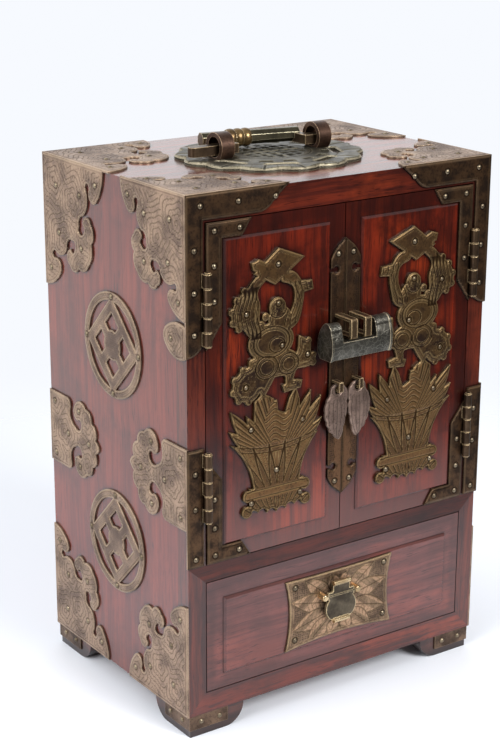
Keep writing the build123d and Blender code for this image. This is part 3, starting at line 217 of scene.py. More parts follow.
def lacquered_wood(
    name, grain, light, dark, seed, edges=(), flame=None, blotch=0.6, gloss=0.16, stain=0.75, coat=0.90,
    worn=None,
):
    """Streaks, bands and pores are noise stretched along the grain, which sways a little. Each edge is
    (axis, centre, half width, fade) in metres, and the stain deepens where a place comes within that fade
    of it. Flame is the colour of rare streaks. Worn is (colour, level, fade, amount) for wood rubbed pale
    below a level."""
    stretch = 0.05
    sway = 0.006
    crevice = 0.010
    material, tree, place = new_material(name)
    squeeze = [1.0, 1.0, 1.0]
    squeeze["XYZ".index(grain)] = stretch
    shift = (seed, seed * 1.7, seed * 0.6)
    along = add_node(
        tree, "ShaderNodeMapping", {"Vector": place, "Location": shift, "Scale": tuple(squeeze)}
    ).outputs[0]
    bend = noise(tree, place, 14.0, 2.0, output="Color")
    bend = vector_math(tree, "SUBTRACT", {0: bend, 1: (0.5, 0.5, 0.5)})[0]
    bend = vector_math(tree, "SCALE", {0: bend, "Scale": sway})[0]
    along = vector_math(tree, "ADD", {0: along, 1: bend})[0]
    streaks = noise(tree, along, 330.0, 7.0, 0.68)
    bands = noise(tree, along, 105.0, 3.0, 0.6)
    pores = noise(tree, along, 1500.0, 2.0)
    clouds = noise(tree, place, 24.0, 6.0, 0.66)
    glow = noise(tree, place, 17.0, 2.0, 0.6)
    drift = minus(tree, clouds, 0.5)

    figure = plus(tree, times(tree, streaks, 0.6), times(tree, bands, 0.4))
    colour = blend_colours(tree, smooth_range(tree, figure, 0.40, 0.62), dark, light)
    if flame:
        lit = times(tree, smooth_range(tree, glow, 0.46, 0.66), smooth_range(tree, streaks, 0.38, 0.60))
        colour = blend_colours(tree, times(tree, lit, 0.65), colour, flame)
    blotches = times(tree, smooth_range(tree, clouds, 0.47, 0.66), blotch)
    colour = blend_colours(tree, blotches, colour, shaded(dark, 0.35))
    pits = times(tree, smooth_range(tree, pores, 0.58, 0.72), 0.75)
    colour = blend_colours(tree, pits, colour, shaded(dark, 0.25))
    if edges:
        split = add_node(tree, "ShaderNodeSeparateXYZ", {0: place}).outputs
        inner = 1.0
        for axis, centre, half, fade in edges:
            reach = calculate(tree, "ABSOLUTE", minus(tree, split[axis], centre))
            reach = plus(tree, reach, times(tree, drift, 1.6 * fade))
            inner = times(tree, inner, smooth_range(tree, reach, half, half - fade))
        shade = times(tree, minus(tree, 1.0, inner), stain)
        colour = blend_colours(tree, shade, colour, shaded(dark, 0.36))
    if worn:
        tint, level, fade, amount = worn
        height = add_node(tree, "ShaderNodeSeparateXYZ", {0: place}).outputs["Z"]
        height = plus(tree, height, times(tree, drift, fade))
        lightened = times(tree, smooth_range(tree, height, level + fade, level), amount)
        colour = blend_colours(tree, lightened, colour, tint)
    # Grime and painted shade: the colour darkens where ambient occlusion finds corners, reveals and the sides
    # of mounts.
    occlusion = add_node(tree, "ShaderNodeAmbientOcclusion", {"Distance": crevice}, samples=6).outputs["AO"]
    grime_and_shade = times(tree, smooth_range(tree, occlusion, 0.985, 0.72), 0.85)
    colour = blend_colours(tree, grime_and_shade, colour, shaded(dark, 0.22))
    film = plus(tree, clouds, times(tree, streaks, 0.3))
    surface = add_node(tree, "ShaderNodeBsdfPrincipled", {
        "Base Color": colour, "Roughness": 0.42, "Specular IOR Level": 0.12,
        "Normal": relief(tree, 0.25, 0.0002, minus(tree, streaks, pores)),
        "Coat Weight": coat, "Coat Roughness": gloss, "Coat IOR": 1.58,
        "Coat Normal": relief(tree, 0.10, 0.0003, film),
    })
    add_node(tree, "ShaderNodeOutputMaterial", {"Surface": surface.outputs[0]})
    return material


def span(name):
    """The lowest and highest corner of a CAD node, in millimetres."""
    return tuple(np.array(corner) * 1000 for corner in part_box(name))


def dress(material, *names):
    """Give CAD nodes one material."""
    for name in names:
        mesh = nodes[name].data
        mesh.materials.clear()
        mesh.materials.append(material)


side_wood = lacquered_wood("rosewood_side", "Z", side_light, side_dark, 0.3, blotch=0.45)
dress(side_wood, "side_panel_left", "side_panel_right", "back_panel")
lid_wood = lacquered_wood("rosewood_top", "X", lid_light, lid_dark, 1.1, blotch=0.4)
dress(lid_wood, "top_panel", "bottom_panel", "divider_panel", "shelf")

# Face frame: darker rails and stiles of rosewood, mitred at their corners and round the drawer, with the
# grain along each member. The middle rail is the dullest and darkest.
stile_light, stile_dark = (0.120, 0.020, 0.009), (0.034, 0.006, 0.004)
rail_light, rail_dark, rail_flame = (0.135, 0.018, 0.007), (0.048, 0.007, 0.004), (0.24, 0.033, 0.009)
middle_light, middle_dark = (0.085, 0.012, 0.005), (0.028, 0.005, 0.003)
stile_wood = lacquered_wood("rosewood_stile", "Z", stile_light, stile_dark, 2.2)
dress(stile_wood, "door_stile_left", "door_stile_right", "drawer_stiles")
rail_wood = lacquered_wood("rosewood_rail", "X", rail_light, rail_dark, 3.4, flame=rail_flame, blotch=0.5)
dress(rail_wood, "front_top_rail", "front_bottom_rail")
middle_rail_wood = lacquered_wood("rosewood_middle_rail", "X", middle_light, middle_dark, 3.9, coat=0.45)
dress(middle_rail_wood, "front_middle_rail")

# Feet: bracket feet of the same wood, each of two legs in an L with a flat sole, stand under the corners
# of the carcass and are rubbed dull. Brass straps go round their corners.
foot_light, foot_dark = (0.11, 0.030, 0.018), (0.032, 0.009, 0.006)
foot_wood = lacquered_wood("rosewood_foot", "X", foot_light, foot_dark, 4.3, gloss=0.28)
dress(foot_wood, "foot_front_left", "foot_front_right", "foot_back_left", "foot_back_right")

# Doors and drawer front: one board each, with a raised field. The fields glow orange-red in the middle, dark
# stain lies towards the edges of each board, and the foot of each door is rubbed pale.
door_light, door_dark, door_flame = (0.145, 0.013, 0.0035), (0.050, 0.0055, 0.0025), (0.30, 0.034, 0.006)
door_worn = ((0.20, 0.066, 0.052), 0.110, 0.050, 0.36)
drawer_light, drawer_dark, drawer_flame = (0.170, 0.048, 0.040), (0.095, 0.025, 0.021), (0.22, 0.045, 0.028)


def board_edges(name, inset_x, fade_x, inset_z, fade_z):
    """A board's left and right and its upper and lower edges, drawn in by an inset, in metres."""
    low, high = span(name)
    middle, half = (low + high) / 2000, (high - low) / 2000
    return (
        ("X", middle[0], half[0] - inset_x, fade_x),
        ("Z", middle[2], half[2] - inset_z, fade_z),
    )


sides_and_signs = (("left", -1), ("right", 1))
for side, sign in sides_and_signs:
    name = f"door_board_{side}"
    door_wood = lacquered_wood(
        f"rosewood_door_{side}", "Z", door_light, door_dark, 5.0 + sign, flame=door_flame, blotch=0.7,
        worn=door_worn, edges=board_edges(name, 0.0065, 0.006, 0.0050, 0.007),
    )
    dress(door_wood, name)
drawer_wood = lacquered_wood(
    "rosewood_drawer", "X", drawer_light, drawer_dark, 7.7, flame=drawer_flame, blotch=0.35, stain=0.6,
    edges=board_edges("drawer_front", 0.0030, 0.005, 0.0020, 0.005),
)
dress(drawer_wood, "drawer_front")

# Drawer box: two sides, a back and a bottom behind the drawer front, of a plain paler wood with a dull
# finish.
plain_wood = lacquered_wood("plain_wood", "X", (0.26, 0.12, 0.06), (0.14, 0.06, 0.03), 9.1, gloss=0.5)
dress(plain_wood, "drawer_side_left", "drawer_side_right", "drawer_back", "drawer_bottom")


# Wrapped mounts: old sheet brass, cut out, bent round the corners and riveted on. It has a brown patina,
# and its edges are painted bright, partly for rubbing by hands and partly as a painted highlight. The
# straps round the feet are darker.
def edge_facing(tree, reach, samples):
    """The bevelled normal, and how far it agrees with the true one, which is less than 1 near an edge."""
    bevel = add_node(tree, "ShaderNodeBevel", {"Radius": reach}, samples=samples).outputs[0]
    true_normal = add_node(tree, "ShaderNodeNewGeometry").outputs["Normal"]
    return bevel, vector_math(tree, "DOT_PRODUCT", {0: bevel, 1: true_normal})["Value"]


def old_brass(
    name, light, dark, grime, rough=0.40, stipple=1.0, seed=0.0, edge_colour=(0.62, 0.48, 0.29), edge=0.6,
    metal=0.8, patch=70.0, edge_band=0.0005, ridge_highlight=0.5, cut=0.85,
):
    """Patina is two layers of noise. Chased lines, ridge highlights, gilding and punched ground come from the
    piece's own attributes, and are missing where a piece has none. Chased lines are filled dark, grime
    together with painted shade, and ridge highlights are painted highlights beside them. Edges are found by a
    bevel and painted in their colour, partly rubbed wear and partly painted highlight."""
    grain_scale = 900.0
    dot_scale = 820.0
    gold = tuple(min(1.0, tint * part) for tint, part in zip((1.85, 1.75, 1.75), light))
    material, tree, place = new_material(name)
    place = add_node(tree, "ShaderNodeMapping", {"Vector": place, "Location": (seed, seed, seed)}).outputs[0]
    patches = noise(tree, place, patch, 5.0, 0.6)
    grain = noise(tree, place, grain_scale, 3.0, 0.6)
    dots = add_node(
        tree, "ShaderNodeTexVoronoi", {"Vector": place, "Scale": dot_scale, "Randomness": 0.30}
    ).outputs["Distance"]

    def stored(label, strength):
        value = add_node(tree, "ShaderNodeAttribute", attribute_name=label).outputs["Fac"]
        return calculate(tree, "MULTIPLY", value, strength, clamp=True)

    colour = blend_colours(tree, smooth_range(tree, patches, 0.36, 0.64), dark, light)
    colour = blend_colours(tree, stored("gilt", 0.8), colour, gold)
    speck = times(tree, smooth_range(tree, grain, 0.50, 0.70), 0.6 * stipple)
    colour = blend_colours(tree, speck, colour, grime)
    punched = times(tree, stored("punched", 1.0), smooth_range(tree, dots, 0.48, 0.20))
    colour = blend_colours(tree, stored("punched", 0.30), colour, grime)
    colour = blend_colours(tree, times(tree, punched, 0.9), colour, grime)
    # Painted highlight: the flanks of the chased grooves are lightened to the edge colour.
    ridge_highlight_mask = stored("ridge_highlight", ridge_highlight)
    colour = blend_colours(tree, ridge_highlight_mask, colour, edge_colour)
    # Bright edges found by the bevel and the skins' rims: partly rubbed wear, partly painted highlight.
    bevel, facing = edge_facing(tree, edge_band, 4)
    ragged = plus(tree, facing, times(tree, minus(tree, grain, 0.5), 0.06))
    corner = times(tree, smooth_range(tree, ragged, 0.985, 0.93), edge)
    lightened = calculate(tree, "MAXIMUM", corner, stored("rim", 0.8 * edge))
    colour = blend_colours(tree, lightened, colour, edge_colour)
    bright = calculate(tree, "MAXIMUM", lightened, ridge_highlight_mask)
    height = plus(tree, times(tree, grain, 0.6), times(tree, patches, 0.8))
    height = minus(tree, height, times(tree, punched, 0.9))
    roughness = add_node(tree, "ShaderNodeMapRange", {
        "Value": patches, "From Min": 0.3, "From Max": 0.7, "To Min": rough + 0.10, "To Max": rough - 0.06,
    }).outputs[0]
    metallic = minus(tree, metal, times(tree, bright, 0.5))
    bump = relief(tree, 0.45, 0.0002, height, Normal=bevel)
    surface = add_node(tree, "ShaderNodeBsdfPrincipled", {
        "Base Color": colour, "Metallic": metallic, "Roughness": roughness, "Normal": bump,
    })
    # Grime and painted shade: the chased grooves and rivet rings are filled with a dark matt surface.
    grime_and_shade = add_node(tree, "ShaderNodeBsdfDiffuse", {"Color": (*shaded(grime, 0.4), 1.0)})
    surface = mixed_surface(tree, stored("chase_and_shade", cut), surface, grime_and_shade)
    add_node(tree, "ShaderNodeOutputMaterial", {"Surface": surface.outputs[0]})
    return material


mount_brass = old_brass(
    "mount_brass", (0.38, 0.258, 0.180), (0.150, 0.099, 0.076), (0.060, 0.037, 0.025),
    edge_colour=(0.55, 0.41, 0.27), edge=0.75, stipple=0.6, patch=62.0, cut=0.72,
)
for end in ("front", "back"):
    dress(mount_brass, f"corner_mount_top_{end}_left", f"corner_mount_top_{end}_right")
dress(mount_brass, "corner_mounts_bottom", "back_edge_plates", "side_tongues", "side_roundels")
foot_brass = old_brass(
    "foot_brass", (0.19, 0.120, 0.078), (0.070, 0.043, 0.029), (0.026, 0.016, 0.010), seed=6.0,
    edge_colour=(0.40, 0.28, 0.17),
)
dress(foot_brass, "foot_straps")

# Hinges: brass plates on the stiles and straps on the doors, whose knuckles turn on pins with a small
# head at each end. The front flanges of the mounts and hinge plates get a darker, browner brass than the
# sides of the same pieces: painted shade on the front, which faces the dark room. The knuckles are darkest.
strap_brass = old_brass(
    "strap_brass", (0.108, 0.057, 0.028), (0.026, 0.014, 0.008), (0.012, 0.007, 0.005), seed=4.0,
    edge_colour=(0.30, 0.19, 0.10), edge=0.35, patch=150.0, ridge_highlight=0.3,
)
dark_brass = old_brass(
    "dark_brass", (0.120, 0.074, 0.042), (0.050, 0.030, 0.018), (0.022, 0.014, 0.009), seed=8.0, rough=0.34,
    edge_colour=(0.85, 0.62, 0.34), edge=0.95, stipple=0.6, edge_band=0.0008,
)
dress(dark_brass, "hinge_pins")
dress(mount_brass, "hinge_plate_left", "hinge_plate_right")
dress(strap_brass, "door_straps_left", "door_straps_right")
front_level = span("front_top_rail")[0][1]
lock_plate_level = span("door_lock_plate_left")[0][1]
barrel_level = lock_plate_level - 0.5
wrap_reach = 100.9
lid_level = 299.9


def face_middles(mesh):
    """The middle of each face, in millimetres."""
    middles = np.empty(3 * len(mesh.polygons))
    mesh.polygons.foreach_get("center", middles)
    return middles.reshape(-1, 3) * 1000


def choose_materials(mesh, materials, choice):
    """Add materials to a mesh and give each face the one that its number says."""
    for material in materials:
        mesh.materials.append(material)
    mesh.polygons.foreach_set("material_index", choice.astype(np.int32))


# Painted shade: front faces of the corner mounts and hinge plates get the darker strap brass, their sides the
# paler mount brass.
for side in ("left", "right"):
    for name in (f"corner_mount_top_front_{side}", f"hinge_plate_{side}", f"door_straps_{side}"):
        mesh = nodes[name].data
        x, y, z = face_middles(mesh).T
        front_in_painted_shade = (y < front_level + 0.3) & (np.abs(x) < wrap_reach) & (z < lid_level)
        choice = np.where(y < barrel_level, 2, np.where(front_in_painted_shade, 1, 0))
        choose_materials(mesh, (strap_brass, dark_brass), choice)

# Rivets: small round-headed brass rivets hold the mounts, the straps, the ornaments, and the plates of
# the doors and the drawer. A dark ring of painted shade lies round each head.
shade_ring_width = 0.6
rivet_brass = old_brass(
    "rivet_brass", (0.30, 0.24, 0.16), (0.15, 0.115, 0.075), (0.06, 0.042, 0.027), rough=0.34, stipple=0.4,
    edge=0.2, metal=0.95,
)
rivet_nodes = [name for name in nodes if "rivets" in name]
dress(rivet_brass, *rivet_nodes)


def merged_triangles(name):
    """A node's points in millimetres, each kept once, and the numbers of each triangle's corners."""
    mesh = nodes[name].data
    mesh.calc_loop_triangles()
    points = np.empty(len(mesh.vertices) * 3)
    mesh.vertices.foreach_get("co", points)
    points = points.reshape(-1, 3) * 1000
    corners = np.empty(len(mesh.loop_triangles) * 3, dtype=np.int64)
    mesh.loop_triangles.foreach_get("vertices", corners)
    merged, index = np.unique(np.round(points, 3), axis=0, return_inverse=True)
    return merged, index.ravel()[corners].reshape(-1, 3)


def rivet_heads(name):
    """Centre and radius, in millimetres, of each rivet of a node. Points that share a triangle take the
    lowest number among them, again and again, until each rivet has one number."""
    merged, corners = merged_triangles(name)
    label = np.arange(len(merged))
    settled = False
    while not settled:
        after = label.copy()
        least = label[corners].min(axis=1)
        for column in range(3):
            np.minimum.at(after, corners[:, column], least)
        after = after[after]
        settled = (after == label).all()
        label = after
    heads = []
    for number in np.unique(label):
        part = merged[label == number]
        low, high = part.min(axis=0), part.max(axis=0)
        heads.append([*((high + low) / 2), np.median((high - low) / 2)])
    return heads


rivets = np.array([head for name in rivet_nodes for head in rivet_heads(name)])


# Mounts on the sides and the lid: the faces of the cloud-shaped mounts, hinge plates and edge plates are
# hammered up a little and chased with clouds. Two pierced roundels with a punched ground lie between them
# on each side.
def plane_axes(axis):
    """The two axes across an axis."""
    return [other for other in range(3) if other != axis]


def plate_outline(name, axis, outward, level=None):
    """The border of a node's flat face at a level, or of its outermost face, as segments in the face's plane,
    and the level. Edges that only one triangle of the face uses are its border."""
    merged, corners = merged_triangles(name)
    if level is None:
        level = (merged[:, axis] * outward).max() * outward
    triangles = corners[(np.abs(merged[corners][:, :, axis] - level) < 0.002).all(axis=1)]
    edges = np.concatenate([triangles[:, [0, 1]], triangles[:, [1, 2]], triangles[:, [2, 0]]])
    single, count = np.unique(np.sort(edges, axis=1), axis=0, return_counts=True)
    return merged[single[count == 1]][:, :, plane_axes(axis)], level


def border_distance(places, segments):
    """Distance and nearest border point for each place, and whether it lies inside by counting crossings."""
    batch = 3000
    distance = np.empty(len(places))
    nearest = np.empty((len(places), 2))
    inside = np.empty(len(places), dtype=bool)
    start, end = segments[:, 0], segments[:, 1]
    run = end - start
    length = np.maximum((run**2).sum(axis=1), 1e-12)
    for first in range(0, len(places), batch):
        rows = slice(first, first + batch)
        part = places[rows][:, None, :]
        share = np.clip(((part - start) * run).sum(axis=2) / length, 0, 1)
        foot = start + share[..., None] * run
        gap = np.hypot(*np.moveaxis(part - foot, 2, 0))
        best = gap.argmin(axis=1)
        each = np.arange(len(best))
        distance[rows] = gap[each, best]
        nearest[rows] = foot[each, best]
        straddle = (start[:, 1] > part[..., 1]) != (end[:, 1] > part[..., 1])
        with np.errstate(divide="ignore", invalid="ignore"):
            cross = start[:, 0] + (part[..., 1] - start[:, 1]) * run[:, 0] / run[:, 1]
        inside[rows] = (straddle & (part[..., 0] < cross)).sum(axis=1) % 2 == 1
    return distance, nearest, inside


def chased_skin(
    name, node, axis, outward, cell, pattern, material, body, margin=0.45, level=None,
    rim_width=0.45,
):
    """A grid over the flat face, cut to its outline and drawn in by the margin. The pattern gives each
    place a height in millimetres and, from 0 to 1, its groove, gilding and punched ground. The height rises
    from nothing at the rim, and a flat underside in the mount closes the skin. A dark ring of painted shade
    lies round each rivet head, added to the grooves."""
    rivet_reach = 2.5
    rim_rise = 0.35
    lift = 0.02
    sunk = 0.12
    segments, level = plate_outline(node, axis, outward, level)
    low, high = segments.reshape(-1, 2).min(axis=0), segments.reshape(-1, 2).max(axis=0)
    across = np.arange(low[0], high[0] + cell, cell)
    up = np.arange(low[1], high[1] + cell, cell)
    grid = np.stack(np.meshgrid(across, up, indexing="ij"), axis=-1).reshape(-1, 2)
    distance, nearest, inside = border_distance(grid, segments)
    signed = np.where(inside, distance, -distance)
    used = (signed > margin - 0.45 * cell).reshape(len(across), len(up))
    cells = used[:-1, :-1] & used[1:, :-1] & used[:-1, 1:] & used[1:, 1:]
    number = np.arange(len(grid)).reshape(used.shape)
    quads = np.stack([number[:-1, :-1], number[1:, :-1], number[1:, 1:], number[:-1, 1:]], axis=-1)[cells]
    edges = np.concatenate([quads[:, [0, 1]], quads[:, [1, 2]], quads[:, [2, 3]], quads[:, [3, 0]]])
    _, first_seen, uses = np.unique(np.sort(edges, axis=1), axis=0, return_index=True, return_counts=True)
    rim_edges = edges[first_seen[uses == 1]]
    on_rim = np.zeros(len(grid), dtype=bool)
    on_rim[rim_edges.ravel()] = True
    inward = np.where(inside[:, None], grid - nearest, nearest - grid)
    inward /= np.maximum(np.hypot(inward[:, 0], inward[:, 1]), 1e-9)[:, None]
    spot = np.where(on_rim[:, None], nearest + margin * inward, grid)
    depth = np.where(on_rim, margin, np.maximum(signed, margin)) - margin
    height, groove, gilt, punched = pattern(spot[:, 0], spot[:, 1], depth)
    plane = plane_axes(axis)
    # Painted shade: a dark ring is added to the grooves just outside each rivet head.
    heads = rivets[np.abs(rivets[:, axis] - level) < rivet_reach]
    if len(heads):
        offset = spot[:, None] - heads[:, plane]
        gaps = np.hypot(offset[..., 0], offset[..., 1]) - heads[:, 3]
        groove = np.maximum(groove, np.clip(1.2 - np.abs(gaps.min(axis=1) - 0.2) / shade_ring_width, 0, 1))
    height = height * np.clip(depth / rim_rise, 0, 1) + lift
    height[on_rim] = 0.0

    live = np.unique(quads)
    order = np.full(len(grid), -1)
    order[live] = np.arange(len(live))
    count = len(live)
    points = np.zeros((2 * count, 3))
    points[:count, plane] = spot[live]
    points[count:, plane] = spot[live]
    points[:count, axis] = level + outward * height[live]
    points[count:, axis] = level - outward * sunk
    top = order[quads]
    wall = order[rim_edges]
    sides = np.column_stack([wall[:, 1], wall[:, 0], wall[:, 0] + count, wall[:, 1] + count])
    faces = np.concatenate([top, top[:, ::-1] + count, sides])
    grid_faces = -1 if axis == 1 else 1
    if grid_faces != outward:
        faces = faces[:, ::-1]
    mesh = bpy.data.meshes.new(name)
    mesh.from_pydata((points / 1000).tolist(), [], faces.tolist())
    mesh.polygons.foreach_set("use_smooth", np.repeat([True, False, False], [len(top), len(top), len(sides)]))
    stored = {
        # Grooves and rivet rings, filled dark in the brass: grime together with painted shade.
        "chase_and_shade": groove ** 0.9,
        # Painted highlight on the flanks of each groove.
        "ridge_highlight": np.clip(1 - np.abs(groove - 0.30) / 0.28, 0, 1),
        # Rim lightening: partly rubbed wear, partly painted highlight.
        "rim": np.clip(1 - depth / rim_width, 0, 1),
        "gilt": gilt,
        "punched": punched,
    }
    for label, values in stored.items():
        layer = mesh.attributes.new(label, "FLOAT", "POINT")
        spread = np.zeros(2 * count, dtype=np.float32)
        spread[:count] = (values * np.ones(len(grid)))[live]
        layer.data.foreach_set("value", spread)
    mesh.materials.append(material)
    skin = bpy.data.objects.new(name, mesh)
    bpy.context.collection.objects.link(skin)
    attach(skin, body)


def line_groove(offset, width):
    """A groove that is deepest where the offset is zero and gone half a width away."""
    return np.clip(1 - np.abs(offset) / (width / 2), 0, 1)


def cloud_scrolls(centres, pitch=3.0, border=1.2):
    """Engraved clouds: rings round given centres, which meet half way between them, with short rays in
    every second ring, inside a border line."""
    def pattern(across, up, depth):
        best = np.full(len(across), 1e9)
        angle = np.zeros(len(across))
        for x, y in centres:
            reach = np.hypot(across - x, up - y)
            closer = reach < best
            angle = np.where(closer, np.arctan2(up - y, across - x), angle)
            best = np.minimum(best, reach)
        turn = best * (1 + 0.10 * np.cos(5 * angle)) / pitch
        rings = line_groove((turn % 1.0 - 0.5) * pitch, 1.25)
        rays = line_groove(np.sin(angle * np.maximum(np.round(turn) * 5, 5)) * 0.8, 1.0)
        rays = rays * (np.round(turn) % 2 == 0) * 0.7
        inner = np.clip(depth - border - 0.3, 0, 1)
        groove = np.maximum(np.maximum(rings, rays) * inner, line_groove(depth - border, 0.8))
        bulge = 0.16 * np.sin(np.clip((turn % 1.0) * np.pi, 0, np.pi)) * inner
        return 0.16 + bulge - 0.22 * groove, 0.9 * groove, 0.0, 0.0
    return pattern


def stippled_band(across, up, depth):
    """One scribed line beside the edge, round a punched ground."""
    groove = line_groove(depth - 0.9, 0.8)
    return 0.14 - 0.12 * groove, groove, 0.0, 0.8 * (depth > 1.5)


def placed(shares, corner, run, rise):
    """Places at shares of a mount's width and height, counted from its corner."""
    return [(corner[0] + across * run, corner[1] + up * rise) for across, up in shares]


def chase_mount(name, node, axis, outward, pattern, margin=0.45):
    """Chase one face of a mount on the carcass."""
    chased_skin(name, node, axis, outward, 0.55, pattern, mount_brass, "cabinet", margin=margin)


corner_clouds = ((0.72, 0.52), (0.45, 0.30), (0.30, 0.62), (0.18, 0.18), (0.86, 0.12))
lid_clouds = ((0.66, 0.52), (0.42, 0.25), (0.22, 0.60), (0.86, 0.12))
hinge_clouds = ((0.76, 0.80), (0.76, 0.20), (0.30, 0.50), (0.12, 0.86), (0.12, 0.14))
hinge_head_height = 47.5
bottom_mount_run = 61.0
tongue_head_radius = 8.0
for side, sign in sides_and_signs:
    for end, inward in (("front", 1), ("back", -1)):
        node = f"corner_mount_top_{end}_{side}"
        low, high = span(node)
        edge = low[1] if inward > 0 else high[1]
        outer = low[0] if sign < 0 else high[0]
        width, run, drop = high - low
        centres = placed(corner_clouds, (edge, high[2]), inward * run, -drop)
        chase_mount(f"chasing_top_{end}_{side}", node, 0, sign, cloud_scrolls(centres))
        centres = placed(lid_clouds, (outer, edge), -sign * width, inward * 0.8 * run)
        chase_mount(f"chasing_lid_{end}_{side}", node, 2, 1, cloud_scrolls(centres))
    node = f"hinge_plate_{side}"
    low, high = span(node)
    head_low = high[2] - hinge_head_height
    centres = placed(hinge_clouds, (low[1], head_low), high[1] - low[1], high[2] - head_low)
    chase_mount(f"chasing_hinge_plate_{side}", node, 0, sign, cloud_scrolls(centres))
    low, high = span("corner_mounts_bottom")
    centres = placed(corner_clouds, (low[1], low[2]), bottom_mount_run, high[2] - low[2])
    centres += placed(corner_clouds, (high[1], low[2]), -bottom_mount_run, high[2] - low[2])
    chase_mount(f"chasing_bottom_{side}", "corner_mounts_bottom", 0, sign, cloud_scrolls(centres))
    low, high = span("back_edge_plates")
    centres = placed(hinge_clouds, (high[1], low[2]), low[1] - high[1], high[2] - low[2])
    chase_mount(f"chasing_back_edge_{side}", "back_edge_plates", 0, sign, cloud_scrolls(centres))
    chase_mount(f"chasing_roundels_{side}", "side_roundels", 0, sign, stippled_band, margin=0.35)
    low, high = span("side_tongues")
    centres = [(high[1] - tongue_head_radius, (low[2] + high[2]) / 2)]
    chase_mount(f"chasing_tongue_{side}", "side_tongues", 0, sign, cloud_scrolls(centres, pitch=2.4))


# Straps on the front: the front flanges of the mounts and hinges and the corner straps of the doors are
# smooth brass strips, riveted flat on the wood, with a scribed border line.
def scribed_border(across, up, depth):
    """One scribed line beside the edge, over a slightly crowned strip."""
    groove = line_groove(depth - 1.1, 0.7)
    return 0.10 + 0.05 * np.clip(depth / 3, 0, 1) - 0.10 * groove, 0.75 * groove, 0.0, 0.0


strap_level = lock_plate_level + 0.2
for side in ("left", "right"):
    for label, node, body in (
        ("corner", f"corner_mount_top_front_{side}", "cabinet"),
        ("hinge", f"hinge_plate_{side}", "cabinet"),
        ("straps", f"door_straps_{side}", f"door_{side}"),
    ):
        chased_skin(
            f"scribing_{label}_{side}", node, 1, -1, 0.6, scribed_border, strap_brass, body, margin=0.3,
            level=strap_level,
        )

# Door ornaments: a cut-out brass figure over a basket of leaves, hammered up a little, riveted on the
# raised field and chased with folds, veins and basket work. The figure holds up a smooth tablet.
front_brass = old_brass(
    "front_brass", (0.145, 0.080, 0.031), (0.034, 0.017, 0.010), (0.018, 0.010, 0.006), seed=3.0,
    edge_colour=(0.46, 0.31, 0.135), edge=0.7, patch=110.0, ridge_highlight=0.75,
)
ornament_centre = 44.2
ornament_width = 63.0
ornament_height = 151.0
ornament_foot = span("door_ornament_left")[1][2] - ornament_height
stand_top, basket_top, leaf_top = 0.145, 0.30, 0.475
head = (-1.5, 119.6)
belly_rings = (
    # centre x and y, half width and half height in millimetres, strength
    (-5.4, 101.5, 11.5, 8.2, 1.0), (-5.4, 101.5, 9.6, 6.6, 0.7), (-2.0, 99.5, 5.0, 4.0, 1.0),
)
hip_rings = ((-8.5, 7.0), (-8.5, 4.6), (5.5, 6.5), (5.5, 4.2))


